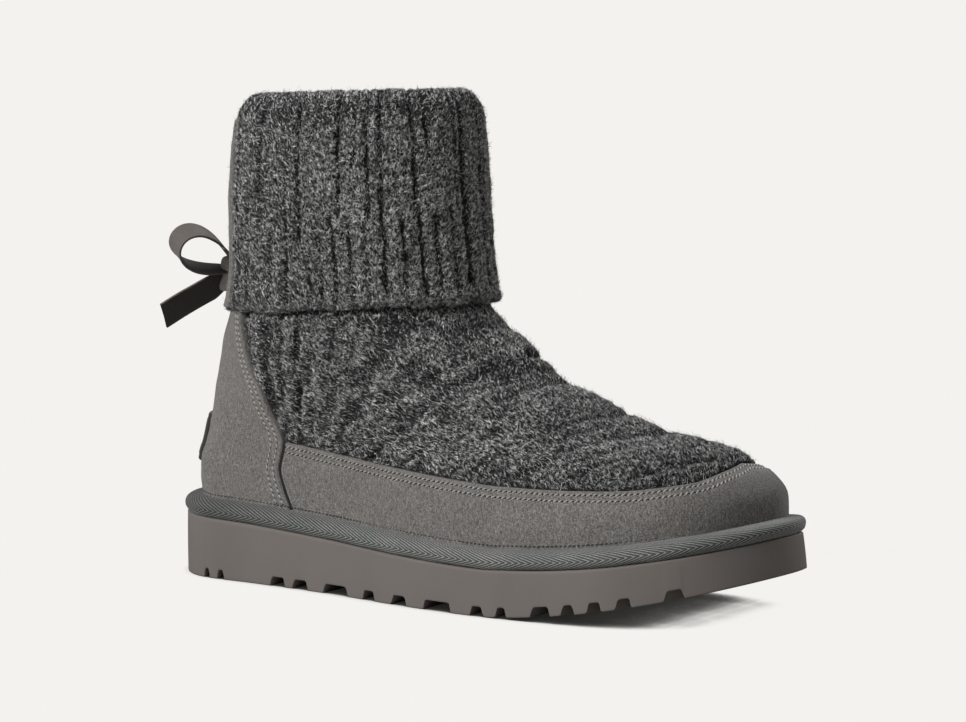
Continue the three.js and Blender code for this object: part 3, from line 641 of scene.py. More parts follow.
# Outsole: a ring of section points at each station, rounded at its rims and cut by the tread's notches
def tread_depth(x):
    """How deep the notches cut at x, with rounded shoulders."""
    mouth_depth, mouth_width, steepest = 0.35, 0.6, 1.6
    depth = np.zeros_like(x)
    for along, width in zip(NOTCH_TABLE["along"], NOTCH_TABLE["width"]):
        off = np.abs(x - along * SOLE_LENGTH) - width * SOLE_LENGTH / 2
        mouth = mouth_depth * np.clip(1 - off / mouth_width, 0, 1) ** 2 * (off > 0)
        inner = np.clip(-off / min(steepest, width * SOLE_LENGTH / 3), 0, 1)
        wall = TREAD_DEPTH * np.sqrt(np.clip(1 - (1 - inner) ** 2.6, 0, 1))
        depth = np.maximum(depth, np.where(off > 0, mouth, np.maximum(wall, mouth_depth)))
    return depth


def at_bottom(loop):
    """A loop of the sole with the toe's rake undone, as it is at the ground."""
    return loop + np.column_stack([rake_at(loop[:, 0]), np.zeros(len(loop))])


def other_side(loop):
    """For each point of a loop, the one as far round on the other side."""
    return np.roll(loop[::-1], 1, axis=0)


def build_outsole():
    columns, steps_in = 1000, 10
    rim_reach, top_round, low_round, low_tuck, bulge = 3.0, 0.45, 0.5, 0.17, 0.12
    around = np.arange(columns) / columns
    top, inner = loop_xy(0, around), loop_xy(rim_reach, around)
    low, inner_low = at_bottom(top), at_bottom(inner)
    top_z = sole_top_at(top[:, 0])
    low_z = spring_at(low[:, 0]) + tread_depth(low[:, 0])
    rings = []
    for share in (1.0, 0.45, 0.18, 0.05):
        rings.append(np.column_stack([lerp(top, inner, share * 0.6), top_z - 0.02 - (1 - share) ** 4 * 0.35]))
    for share in (0.0, 0.06, 0.25, 0.5, 0.75, 0.9, 0.955, 1.0):
        xy = lerp(top, low, share)
        xy = xy + unit(xy - lerp(inner, inner_low, share)) * (bulge * math.sin(math.pi * share))
        rings.append(np.column_stack([xy, lerp(top_z - top_round, low_z + low_round, share)]))
    for angle in (25, 50, 75, 90):
        turn = math.radians(angle)
        xy = lerp(low, inner_low, (1 - math.cos(turn)) * low_tuck)
        rings.append(np.column_stack([xy, low_z + low_round * (1 - math.sin(turn))]))
    rim = lerp(low, inner_low, low_tuck)
    for step in range(1, steps_in + 1):
        xy = lerp(rim, other_side(rim), step / steps_in * 0.5)
        x, spring = xy[:, 0], spring_at(xy[:, 0])
        side = np.abs(np.abs(xy[:, 1]) - CHANNEL_SIDE * BALL_WIDTH)
        inside = (x > CHANNEL_START * SOLE_LENGTH) & (x < CHANNEL_END * SOLE_LENGTH)
        cut = TREAD_DEPTH * np.clip(CHANNEL_WIDTH / 2 + 0.6 - side, 0, 1) * inside
        rings.append(np.column_stack([xy, spring + np.maximum(tread_depth(x), cut)]))
    build_grid("outsole_body", rings, rubber, "outsole", closed=True, turned=True)


build_outsole()


# Binding: woven tape wrapped round the edge, with its twill in relief
def walked_along(path):
    """Length walked along a path up to each of its points."""
    return np.concatenate([[0], np.cumsum(np.linalg.norm(np.diff(path, axis=0), axis=1))])


def walked_round(ring):
    return walked_along(np.vstack([ring, ring[:1]]))


def even_around(inset, count):
    """Places around a loop that lie evenly along it, and its whole length."""
    fine = np.arange(8001) / 8000
    walked = walked_round(loop_xy(inset, fine[:-1]))
    return np.interp(np.arange(count) / count * walked[-1], walked, fine), walked[-1]


def build_binding():
    columns, rows, knots = 1700, 19, 90
    around, total = even_around(0, columns)
    profile = np.column_stack([BINDING_PROFILE["out"] * BINDING_OVERHANG, BINDING_PROFILE["up"] * BINDING_HEIGHT])
    at, places = np.linspace(0, len(profile) - 1, knots), np.arange(len(profile))
    path = np.column_stack([np.interp(at, places, profile[:, k]) for k in range(2)])
    for _ in range(60):
        path[1:-1] = (path[:-2] + 2 * path[1:-1] + path[2:]) / 4
    walked = walked_along(path)
    across = np.linspace(0, walked[-1], rows)
    out, up = (np.interp(across, walked, path[:, k]) for k in range(2))
    turn = np.gradient(np.column_stack([out, up]), axis=0)
    facing = unit(np.column_stack([turn[:, 1], -turn[:, 0]]))
    along = np.arange(columns) / columns * total
    fitted = TAPE_PITCH * round(total / TAPE_PITCH) / total
    rings, flats = [], []
    for row in range(rows):
        height = walked[-1] - across[row]
        wave = np.sin((along * fitted + TAPE_SLANT * abs(height - TAPE_SPINE)) * 2 * np.pi / TAPE_PITCH)
        relief = 0.09 * wave * smooth(min(row, rows - 1 - row) / 2) + 0.12 * noise(3, along / 9, row / 4.4)
        base = loop_xy(-out[row], around)
        xy = base + unit(base - loop_xy(-out[row] + 1.0, around)) * (facing[row, 0] * relief)[:, None]
        z = sole_top_at(base[:, 0]) + CLEARANCE + up[row] + facing[row, 1] * relief
        rings.append(np.column_stack([xy, z]))
        flats.append(np.column_stack([along * fitted, np.full(columns, height)]) / FLAT_UNIT)
    inner = loop_xy(BINDING_WIDTH, around)
    rings.append(np.column_stack([inner, platform_top_at(inner[:, 0])]))
    flats.append(flats[-1])
    rings = [np.vstack([ring, ring[:1]]) for ring in rings]
    flats = [np.vstack([flat, flat[:1] + [total * fitted / FLAT_UNIT, 0]]) for flat in flats]
    build_grid("edge_binding", rings, tape, "binding", flats)


build_binding()


# Relief of the knit: the height where each rib's place is read, and where the vamp's ridge runs, how far to its
# sides it counts and how round it is, all in mm
PHASE_Z = 60
RIDGE_Y = 6
RIDGE_REACH = 34
RIDGE_ROUND = 4


def vamp_phase(points):
    """Where the rib through a point crosses PHASE_Z, by halving: upright at the ankle, leaning on the vamp."""
    x, rise = points[..., 0], np.maximum(points[..., 2] - PHASE_Z, -6)
    near = RIDGE_REACH - np.sqrt((points[..., 1] - RIDGE_Y) ** 2 + RIDGE_ROUND ** 2)
    low, high = np.full(x.shape, 20.0), np.full(x.shape, 290.0)
    for _ in range(18):
        middle = (low + high) / 2
        lean, skew = (read(LEAN_TABLE, "start", name, middle) for name in ("lean", "skew"))
        short = middle + lean * rise + skew * near < x
        low, high = np.where(short, middle, low), np.where(short, high, middle)
    return (low + high) / 2


def vamp_relief(points):
    """Height of the knit over the upper's wall, and how much of each place is ridge rather than trough."""
    start = vamp_phase(points)
    z = points[..., 2]
    side = np.where(points[..., 1] < 0, 0.0, 31.0)
    wobble = 1.3 * noise(11, z / 10 + side, start / 15) + 0.6 * noise(12, z / 3.5, start / 6 + side)
    ridge = np.zeros_like(start)
    for place, depth, width in zip(*TROUGH_TABLE.values()):
        strength = depth * (0.8 + 0.75 * noise(13 + place, z / 8 + side, points[..., 0] / 25))
        ridge = np.maximum(ridge, strength * np.exp(-(((start + wobble - place) / width) ** 2)))
    lumps = 0.6 * noise(14, start / 7, z / 6 + side) + 0.4 * noise(15, start / 2.8 + side, z / 2.8)
    # The cable shows in front of the ankle, and the whole relief calms from there to the toe
    cable = 0.35 * np.sin(2 * np.pi * (z / 11 + start / 19)) * smooth((start - 82) / 20)
    calm = 1 - 0.38 * smooth((start - 95) / 50)
    height = 0.75 - ridge * calm + (lumps + cable) * calm
    return height, smooth((height + 0.7) / 1.9)


ring_places = np.arange(4001) / 4000
ring_walked = walked_round(surface(ring_places[:-1], lerp(INSTEP_RISE, upper_rise, 0.5)))


def cuff_relief(around, share):
    """Height of the cuff's knit and how much of it is ridge. share runs from 0 at the hem to 1 at the fold."""
    girth = np.interp(around % 1, ring_places, ring_walked)
    far = girth > ring_walked[-1] / 2
    place = np.where(far, ring_walked[-1] - girth, girth)
    side = np.where(far, 57.0, 0.0)
    wobble = 0.5 * noise(21, share * 7 + side, place / 14) + 0.35 * noise(22, share * 24, place / 5 + side)
    ridge = np.zeros_like(place)
    for middle, low, high, depth in zip(*GROOVE_TABLE.values()):
        fade = smooth((share * 100 - low) / 6 + 0.5) * smooth((high - share * 100) / 6 + 0.5)
        strength = 1.2 * depth * fade * (0.9 + 0.4 * noise(23 + middle, share * 8 + side, place / 60))
        ridge = np.maximum(ridge, strength * np.exp(-(np.abs(place + wobble - middle) ** 1.7)))
    lumps = 0.34 * noise(25, place / 4.5 + side, share * 17) + 0.28 * noise(26, place / 2.2 + side, share * 38)
    height = 0.75 - ridge + lumps
    return height, smooth((height + 0.8) / 1.6)


def build_vamp():
    """The knit between the suede's upper edge and the cuff, tucked under both."""
    columns, rows = 364, 102
    # In mm, and the last as a share of the way round
    under_suede, under_cuff, under_counter = 4, 9, 0.012
    places = np.linspace(0, 1, columns)
    tucks = np.linspace(0, 1, rows)[:, None]
    around = np.broadcast_to(places, (rows, columns))
    for _ in range(3):
        rise = lerp(suede_edge(around) - under_suede, hem_rise(around) + under_cuff, tucks)
        edge = counter_edge(rise) - under_counter
        around = edge + (1 - 2 * edge) * places
    points, normal = surface(around, rise), surface_normal(around, rise)
    # Fewer hairs from 6 mm under the cuff's hem up: painted shade under the hem, while the wall also sinks there for
    # real shadow
    below = smooth((hem_rise(around) + 1 - rise) / 7)
    edge_gap = np.minimum(around, 1 - around) - counter_edge(rise)
    cover = smooth((rise - suede_edge(around) + 0.6) / 2.2) * below * smooth(edge_gap / 0.006 + 0.2)
    height, ridge = vamp_relief(points)
    relief = height * cover - 0.35 * (1 - cover) - 0.7 * (1 - below)
    grid = points + normal * relief[..., None]
    build_grid("knit_vamp", grid, knit, "upper")
    return grid, normal, smooth(cover * 1.2), ridge


vamp = build_vamp()

# The cuff in mm: its outer side off the surface, where its fold starts below the collar, how tall the fold is,
# and how far it curves outside and inside
CUFF_OUT = CLEARANCE + CUFF_WALL
FOLD_START = 5.4
FOLD_TALL = FOLD_START + CLEARANCE + CUFF_FOLD
FOLD_WIDE = 7.5
FOLD_INSIDE = 2.6


def build_cuff():
    """The folded cuff: up the outside, over the fold and down the inner side a little way."""
    columns = 500
    around = np.arange(columns) / columns
    hem, collar = hem_rise(around), collar_rise(around)
    hem_wave = 0.75 * noise(31, around * 30, 0.0) + 0.5 * noise(32, around * 75, 0.0)
    hem_wave = hem_wave + 0.9 * (1 - cuff_relief(around, 0.12)[1])
    rows = []

    def add(rise, offset, lift, share, amount, upward=0.0, mask=1.0, facing=1):
        height, ridge = cuff_relief(around, share)
        relief = height * amount
        normal = surface_normal(around, np.minimum(rise, upper_rise), True)
        point = surface(around, rise) + normal * (offset + facing * relief * (1 - upward))[:, None]
        point[:, 2] += lift + relief * upward
        out = facing * normal * (1 - upward) + np.array([0, 0, 1.0]) * upward
        rows.append((point, unit(out), np.full(columns, mask), ridge))

    for depth, lift in ((0.1, 4.0), (0.3, 0.6), (0.35 * CUFF_WALL, -0.55), (0.75 * CUFF_WALL, -0.5)):
        add(hem, CLEARANCE + depth, lift + hem_wave, 0.0, 0.0, 0.0, 0.4)
    for share in np.concatenate([np.linspace(0, 0.95, 60), [0.962, 0.974, 0.985, 0.995]]):
        rise = lerp(hem, collar, share)
        above = np.clip(1 - (collar - rise) / FOLD_START, 0, 1) * FOLD_START / FOLD_TALL
        swell = 0.5 * math.exp(-(share / 0.05) ** 2) + FOLD_WIDE * (1 - np.sqrt(1 - above ** 2))
        lift = hem_wave * (1 - smooth(share / 0.14))
        add(rise, CUFF_OUT - swell, lift, share, smooth(share / 0.03 + 0.3))
    crest = CUFF_OUT - FOLD_WIDE
    for angle in range(36, 181, 9):
        turn = math.radians(angle)
        is_outside = angle < 90
        offset = crest + math.cos(turn) * (FOLD_WIDE if is_outside else FOLD_INSIDE)
        lift = FOLD_TALL * math.sin(turn) - FOLD_START
        add(collar, offset, lift, 1 + angle / 900, 0.7, 0.85 * math.sin(turn) ** 2, 1.0, 1 if is_outside else -1)
    for drop in (7, 9, 14, 20, 26):
        offset = lerp(crest - FOLD_INSIDE, -UPPER_WALL - 0.9, smooth((drop - 5) / 13))
        add(collar - drop, offset, 0, 1.2 + drop / 80, 0.5, 0.0, 0.7, -1)
    for drop, depth in ((27.5, 0.5), (28, -0.5)):
        add(collar - drop, -UPPER_WALL - depth, 0, 1.5, 0.0, 0.0, 0.0, -1)
    points, normals, masks, ridges = (np.stack(part) for part in zip(*rows))
    build_grid("knit_cuff", points, knit, "cuff", closed=True)
    # Painted light and shade in the hair mix: more of the lighter hairs towards the toe, where the cuff faces away
    # from the key light, and fewer of them on the fold's top
    lighter = 1 + 0.7 * smooth((points[..., 0] - 70) / 40)
    darker = 1 - 0.45 * smooth((points[..., 2] - 184) / 9)
    return points, normals, masks, ridges * lighter * darker


cuff = build_cuff()


# Fibres: short flat curved hairs that lie on the knit
def scatter(grid, normal, weight, count, closed):
    """Random places on a grid, even by weighted area: point, normal, directions along its rows and columns."""
    if closed:
        grid, normal, weight = (np.concatenate([part, part[:, :1]], 1) for part in (grid, normal, weight))
    across = grid[:-1, 1:] - grid[:-1, :-1]
    upward = grid[1:, :-1] - grid[:-1, :-1]
    area = np.linalg.norm(np.cross(across, upward), axis=-1) * weight[:-1, :-1]
    total = np.cumsum(area.ravel())
    picked = np.searchsorted(total, rng.random(count) * total[-1])
    i, j = np.unravel_index(picked, area.shape)
    u, v = rng.random((2, count, 1))
    bottom = lerp(grid[i, j], grid[i, j + 1], u)
    top = lerp(grid[i + 1, j], grid[i + 1, j + 1], u)
    return lerp(bottom, top, v), normal[i, j], unit(across[i, j]), unit(upward[i, j])


# A hair's triangles over its points: a blade has two at its root and one at its tip, a curl two more between them
BLADE = ((0, 1, 2),)
CURL = ((0, 1, 3), (0, 3, 2), (2, 3, 4))


def build_fibres(name, ground, closed, count, material, shape, length, width, lift, on_ridge, stand):
    """Hairs over one ground. on_ridge from 0 to 1 is how much they keep to the ridges, leaving the troughs with
    fewer light hairs: fuzz gathered on the ridges, and painted shade in the troughs. stand is how far they rise.
    """
    grid, normal, cover, ridge = ground
    weight = cover * (1 - on_ridge + on_ridge * ridge ** 1.5)
    point, out, across, upward = scatter(grid, normal, weight, count, closed)
    turn = rng.normal(0, 0.7, (count, 1)) + rng.choice([0.4, -0.4], (count, 1))
    way = unit(across * np.sin(turn) + upward * np.cos(turn))
    side = unit(np.cross(out, way))
    long = length * rng.uniform(0.5, 1.45, (count, 1))
    curl = rng.normal(0, 0.45, (count, 1)) * long * 0.5
    high = lift * rng.uniform(0.2, 1.5, (count, 1)) + stand * rng.uniform(0, 1, (count, 1)) ** 2
    half = width / 2 * rng.uniform(0.6, 1.25, (count, 1))
    tilt = rng.normal(0, 0.7, (count, 1))
    flat = unit(side * np.cos(tilt) + out * np.sin(tilt))
    sections = []
    for share in (0.0, 0.55, 1.0) if shape is CURL else (0.0, 1.0):
        centre = point + way * long * (share - 0.4) + side * curl * share * share
        centre = centre + out * (0.12 + high * (1 - (1 - share) ** 2) - 0.25 * (share == 0))
        sections += [centre] if share == 1 else [centre - flat * half, centre + flat * half]
    points = np.stack(sections, 1).reshape(-1, 3)
    start = np.arange(count)[:, None] * len(sections)
    build(name, points, np.concatenate([start + list(face) for face in shape]), material)


# Kinds of hair: name, material, shape, length, width, lift, share on the ridges, stand, counts for vamp and cuff
FIBRES = (
    ("dark_fibres_", fibre_dark, BLADE, 2.1, 0.5, 0.3, 0.0, 0.0, {"vamp": 42000, "cuff": 38000}),
    ("grey_fibres_", fibre_mid, BLADE, 1.55, 0.43, 0.35, 0.4, 0.0, {"vamp": 46000, "cuff": 56000}),
    ("light_fibres_", fibre_light, BLADE, 1.5, 0.36, 0.5, 0.75, 0.0, {"vamp": 42000, "cuff": 76000}),
    ("long_fibres_", fibre_light, CURL, 2.2, 0.2, 0.6, 0.8, 0.0, {"vamp": 10500, "cuff": 17000}),
    ("standing_fuzz_", fibre_fuzz, CURL, 2.2, 0.12, 0.5, 0.6, 1.7, {"vamp": 9000, "cuff": 11000}),
)
HEM_ROWS = 7
for place, ground, closed in (("vamp", vamp, False), ("cuff", cuff, True)):
    for kind, material, *looks, counts in FIBRES:
        build_fibres(kind + place, ground, closed, counts[place], material, *looks)
hem_band = tuple(part[:HEM_ROWS] for part in cuff)
build_fibres(
    "hem_fringe", hem_band, True, 4500, fibre_fuzz, CURL, length=2.4, width=0.2, lift=0.5, on_ridge=0.0, stand=1.0
)


# Suede panels: outer skins with rounded edges
def rounded(distance, radius):
    """Share of the full thickness at a distance from a panel's edge."""
    near = np.clip(distance / radius, 0, 1)
    return np.sqrt(np.clip(1 - (1 - near) ** 2, 0, 1))


def dimple(distance, places, depth, width):
    return -depth * sum(np.exp(-(((distance - place) / width) ** 2)) for place in places)


def edged(ends, first, count):
    """Places from 0 to 1: close together at both ends, even between."""
    ends = np.array(ends)
    return np.concatenate([ends, np.linspace(first, 1 - first, count), 1 - ends[::-1]])


# Both rows of stitches in mm from a panel's edge, and the gap between both panels as a share of the way round
STITCH_ROWS = (1.9, 4.3)
SEAM_GAP = 0.0017
# In mm: how far a skin's edge sinks in, how far its foot reaches under the upper's, where the band's fine rows end,
# and the band's length
EDGE_SINK = 0.8
FOOT_SINK = 0.4
EDGE_FADE = 5.6
BAND_LENGTH = 560


def panel_point(around, rise, offset, flat=False):
    return surface(around, rise) + surface_normal(around, rise, flat) * np.asarray(offset)[..., None]


def panel_offset(thick, swell):
    return CLEARANCE + (SUEDE + swell) * thick - EDGE_SINK * (thick < 0.05)


def foxing_swell(around, drop):
    """Unevenness of the band in mm, at a distance below its upper edge."""
    swell = 0.25 * noise(41, around * 55, drop / 8)
    return swell + 1.0 * smooth((length_share(around) - 0.86) / 0.12) * smooth(drop / 6)


def place_length(place, rise):
    """Length in mm of the surface for one unit of around, as at a place."""
    around = np.full(np.shape(rise), place)
    return np.linalg.norm(surface(around + 0.01, rise) - surface(around, rise), axis=-1) / 0.01


def counter_place(columns, rise):
    """Column from -1 to 1 between the heel panel's edges: place, distance to the edge and unevenness in mm."""
    edge = counter_edge(rise)
    swell = 0.3 * noise(42, columns * 4 + 7, rise / 14) + 0.12 * noise(43, columns * 12, rise / 5)
    return columns * (edge - 0.0004), (1 - np.abs(columns)) * edge * place_length(0.09, rise), swell


def build_foxing():
    """Suede band: from the platform up to its rounded, stitched upper edge."""
    columns, foot = 620, 20
    down = np.array([0, 0.15, 0.4, 0.75, 1.2, 1.6, 1.9, 2.3, 3.0, 3.8, 4.3, 4.8, EDGE_FADE])
    down = np.concatenate([down, np.linspace(7, foot, 11)])
    rows = []
    seam = float(counter_edge(np.array(8.0)))
    places = np.linspace(0, 1, columns)
    for drop in down[::-1]:
        around = seam + (1 - 2 * seam) * places
        for _ in range(3):
            top = suede_edge(around)
            lower = lerp(top - EDGE_FADE, 0, (drop - EDGE_FADE) / (foot - EDGE_FADE))
            rise = top - drop if drop <= EDGE_FADE else lower
            edge = counter_edge(rise) + SEAM_GAP
            around = edge + (1 - 2 * edge) * places
        ends = np.minimum(places, 1 - places) * (1 - 2 * edge) * BAND_LENGTH
        thick = rounded(drop, 1.1) * rounded(ends, 0.9)
        swell = foxing_swell(around, drop) + dimple(drop, STITCH_ROWS, 0.22, 0.5)
        point = panel_point(around, rise, panel_offset(thick, swell), bool(drop >= foot))
        if drop >= foot:
            point[:, 2] = feather_at(point[:, 0]) - FOOT_SINK
        rows.append(point)
    build_grid("suede_foxing", rows, suede, "foxing")


build_foxing()


def build_seams():
    """Dark strips under both skins that paint the shade seen in the gap between the band and the heel panel."""
    height, under_counter, under_band, offset = 28, 0.012, 0.016, 0.95
    across = np.linspace(-under_counter, under_band, 8)
    rise, spread = np.meshgrid(np.linspace(0, height, 40), across, indexing="ij")
    for word, side in (("lateral", 1), ("medial", -1)):
        points = panel_point(np.mod(side * (counter_edge(rise) + spread), 1), rise, offset)
        build_grid("seam_shade_" + word, points, painted_shade_suede, turned=side < 0)


build_seams()


def build_counter():
    """Suede heel panel with rounded side edges, up to the cuff's hem."""
    rows, under_cuff = 150, 5
    near_edge = [0.885, 0.91, 0.93, 0.945, 0.957, 0.968, 0.977, 0.985, 0.991, 0.996, 0.9985, 1.0]
    spread = np.concatenate([np.linspace(0, 0.86, 34), near_edge])
    columns = np.concatenate([-spread[:0:-1], spread])
    rings = []
    for step in range(rows + 1):
        rise = np.full(len(columns), step / rows * (INSTEP_RISE + under_cuff))
        around, ends, swell = counter_place(columns, rise)
        swell = swell + dimple(ends, STITCH_ROWS, 0.22, 0.5)
        point = panel_point(np.mod(around, 1), rise, panel_offset(rounded(ends, 1.0), swell))
        if step == 0:
            point[:, 2] = feather_at(point[:, 0]) - FOOT_SINK
        rings.append(point)
    build_grid("suede_counter", rings, suede_heel, "heel_counter")


build_counter()


def build_patch():
    """Thin bare patch on the heel, with rounded corners and edges."""
    sunk, groove_at = 0.5, 2.0
    reach = (PATCH_WIDTH / 2 - 3.5) / place_length(0.0, PATCH_RISE + PATCH_HEIGHT / 2)
    across = edged([0, 0.004, 0.012, 0.022, 0.04], 0.07, 40)
    u, v = np.meshgrid(across, edged([0, 0.01, 0.03, 0.055, 0.09], 0.14, 14))
    sideways, high = np.minimum(u, 1 - u) * PATCH_WIDTH, np.minimum(v, 1 - v) * PATCH_HEIGHT
    thick = rounded(sideways, 0.8) * rounded(high, 0.8)
    groove = dimple(np.minimum(sideways, high), (groove_at,), 0.18, 0.35)
    offset = CLEARANCE + SUEDE + PATCH_CLEARANCE - sunk + (PATCH_THICKNESS + 0.1 + groove) * thick
    points = panel_point(np.mod((2 * u - 1) * reach, 1), PATCH_RISE + PATCH_HEIGHT * v, offset)
    build_grid("bare_patch", points, patch_finish, "heel_patch")


build_patch()

# The back strap: its inner side off the surface in mm, half its width as 8 of the 9 columns that the part's grid has
# up to the heel panel's edge there, half its width and its length in mm, and how far in its stitches lie
STRAP_INSIDE = CUFF_OUT + CLEARANCE
STRAP_REACH = 8 / 9 * 0.1255
STRAP_HALF = 31
STRAP_LONG = 78
STRAP_STITCH = 2.2


def strap_surface(u, v, offset):
    """Point of the cuff's back strap: u from -1 to 1 across, v from 0 at the hem to 1 at its top."""
    around = np.mod(u * STRAP_REACH, 1)
    rise = lerp(hem_rise(around), collar_rise(around) - STRAP_DROP, v)
    return panel_point(around, rise, offset, True)


def build_strap():
    sunk = 0.9
    across = edged([0, 0.004, 0.012, 0.024, 0.04], 0.06, 46) * 2 - 1
    u, v = np.meshgrid(across, edged([0, 0.004, 0.01, 0.018], 0.03, 60))
    sideways, high = (1 - np.abs(u)) * STRAP_HALF, np.minimum(v, 1 - v) * STRAP_LONG
    thick = rounded(sideways, 0.8) * rounded(high, 0.8)
    swell = 0.25 * noise(51, u * 3, v * 7) + 0.12 * noise(52, u * 9, v * 20)
    swell = swell + dimple(sideways, (STRAP_STITCH,), 0.2, 0.45)
    points = strap_surface(u, v, STRAP_INSIDE - sunk + (SUEDE + sunk + swell) * thick)
    build_grid("suede_strap", points, suede_heel, "cuff_strap")


build_strap()


# Stitches
def build_stitch_rows(name, rows, material, length, radius):
    """Short rounded stitches as one mesh, each along its way, sunk a little at both ends."""
    centres, ways, outs = (np.vstack(part) for part in zip(*rows))
    sides = 5
    across = unit(np.cross(outs, ways))
    rings = []
    for share, wide in ((-1, 0.15), (-0.7, 0.8), (0, 1.0), (0.7, 0.8), (1, 0.15)):
        middle = centres + ways * (share * length / 2) - outs * (0.8 * radius * abs(share) ** 3)
        for side in range(sides):
            turn = 2 * np.pi * side / sides
            rings.append(middle + (across * math.cos(turn) + outs * math.sin(turn)) * radius * wide)
    points = np.stack(rings, 1)
    single = grid_faces(len(rings) // sides, sides, True)
    faces = (np.arange(len(centres))[:, None, None] * len(rings) + single[None]).reshape(-1, 4)
    build(name, points.reshape(-1, 3), faces, material)


def stitch_line(path, normals, pitch, slant, shift=0.5):
    """Centres, ways and outward directions of stitches at an even pitch, the first at a share of the pitch."""
    walked = walked_along(path)
    count = max(2, int(walked[-1] / pitch))
    at = np.interp((np.arange(count) + shift) * walked[-1] / count, walked, np.arange(len(path)))

    def pick(values):
        return np.stack([np.interp(at, np.arange(len(values)), values[:, k]) for k in range(3)], 1)

    centres, outs = pick(path), unit(pick(normals))
    ways = unit(pick(np.gradient(path, axis=0)))
    across = np.cross(outs, ways)
    turn = slant + rng.normal(0, 0.06, (count, 1))
    return centres, unit(ways * np.cos(turn) + across * np.sin(turn)), outs


def build_stitches():
    band, heel, holes = [], [], []

    def sew(rows, around, rise, swell, pitch, slant, hole_slant):
        """A row of stitches on a skin, and dark dots between them that paint the shade in the stitch holes."""
        normal = surface_normal(around, rise)
        path = panel_point(around, rise, CLEARANCE + SUEDE + swell + 0.04)
        rows.append(stitch_line(path, normal, pitch, slant))
        holes.append(stitch_line(path - 0.2 * normal, normal, pitch, hole_slant, 0.0))

    edge = counter_edge(24.0) + 0.004
    around = edge + (1 - 2 * edge) * np.linspace(0, 1, 3000)
    for drop in STITCH_ROWS:
        rise, swell = suede_edge(around) - drop, foxing_swell(around, drop)
        sew(band, around, rise, swell, pitch=2.25, slant=0.62, hole_slant=0.9)
    rise = np.linspace(1.5, INSTEP_RISE + 1, 1200)
    width = counter_place(np.zeros(len(rise)), rise)[1]
    for side in (1, -1):
        for drop in STITCH_ROWS:
            around, _, swell = counter_place(side * (1 - drop / width), rise)
            sew(heel, np.mod(around, 1), rise, swell, pitch=2.35, slant=0.45 * side, hole_slant=0.9 * side)
    build_stitch_rows("stitches_band", band, thread, length=2.0, radius=0.33)
    build_stitch_rows("stitches_counter", heel, thread, length=1.9, radius=0.33)
    build_stitch_rows("stitch_holes", holes, painted_shade_suede, length=0.8, radius=0.3)
    around, welt_rise = np.linspace(0, 1, 4000), 1.0
    path = panel_point(around, welt_rise, CLEARANCE + SUEDE + 0.08)
    welt = stitch_line(path, surface_normal(around, welt_rise), pitch=1.9, slant=0.2)
    build_stitch_rows("stitches_welt", [welt], thread_welt, length=1.5, radius=0.3)
    rows = []
    v = np.linspace(0.02, 0.98, 700)
    for side in (-1, 1):
        u = np.full(len(v), side * (1 - STRAP_STITCH / STRAP_HALF))
        path = strap_surface(u, v, STRAP_INSIDE + SUEDE - 0.05)
        rows.append(stitch_line(path, unit(path - strap_surface(u, v, 0.0)), pitch=2.4, slant=0.0))
    build_stitch_rows("stitches_strap", rows, thread_dark, length=1.7, radius=0.3)


build_stitches()


# Inside: plush lining and footbed
def build_lining():
    columns, rows, below_collar = 180, 56, 23
    around = np.arange(columns) / columns
    rings = []
    for share in np.linspace(0, 1, rows):
        rise = lerp(0, collar_rise(around) - below_collar, share)
        relief = 0.4 * noise(61, around * 110, rise / 3) + 0.3 * noise(62, around * 220, rise / 1.6)
        tuck = 0.9 * smooth((share - 0.9) / 0.08)
        rings.append(panel_point(around, rise, tuck - relief - UPPER_WALL - 0.7, True))
    build_grid("plush_lining", rings, plush, closed=True, turned=True)


build_lining()


def build_footbed():
    """Cushion with a rounded rim: its rings run from the edge to the line halfway between both sides."""
    columns, steps_in = 220, 26
    edge = loop_xy(BINDING_WIDTH + CLEARANCE, np.arange(columns) / columns)
    sections = [(0, 0.2, 0), (0.006, 0.8, 0)]
    sections += [(share, 1, 1) for share in (0.02, *np.linspace(0.04, 0.5, steps_in))]
    rings = []
    for share, tall, rough in sections:
        xy = lerp(edge, other_side(edge), share)
        relief = 0.45 * noise(63, xy[:, 0] / 2.6, xy[:, 1] / 2.6) * rough
        rings.append(np.column_stack([xy, sole_top_at(xy[:, 0]) + CLEARANCE + INSOLE_THICKNESS * tall + relief]))
    build_grid("footbed", rings, plush, "insole", closed=True)


build_footbed()

# Bow
BOW_HEIGHT = base_height + INSTEP_RISE + BOW_RISE


def knot_centre(up):
    """Middle of the knot at a share of its height, against the strap's back."""
    v = np.linspace(0, 1, 200)
    back = strap_surface(np.zeros(len(v)), v, STRAP_INSIDE + SUEDE)
    height = BOW_HEIGHT + (up - 0.5) * KNOT_HEIGHT
    return np.array([np.interp(height, back[:, 2], back[:, 0]) - CLEARANCE - KNOT_DEPTH / 2, 0, height])


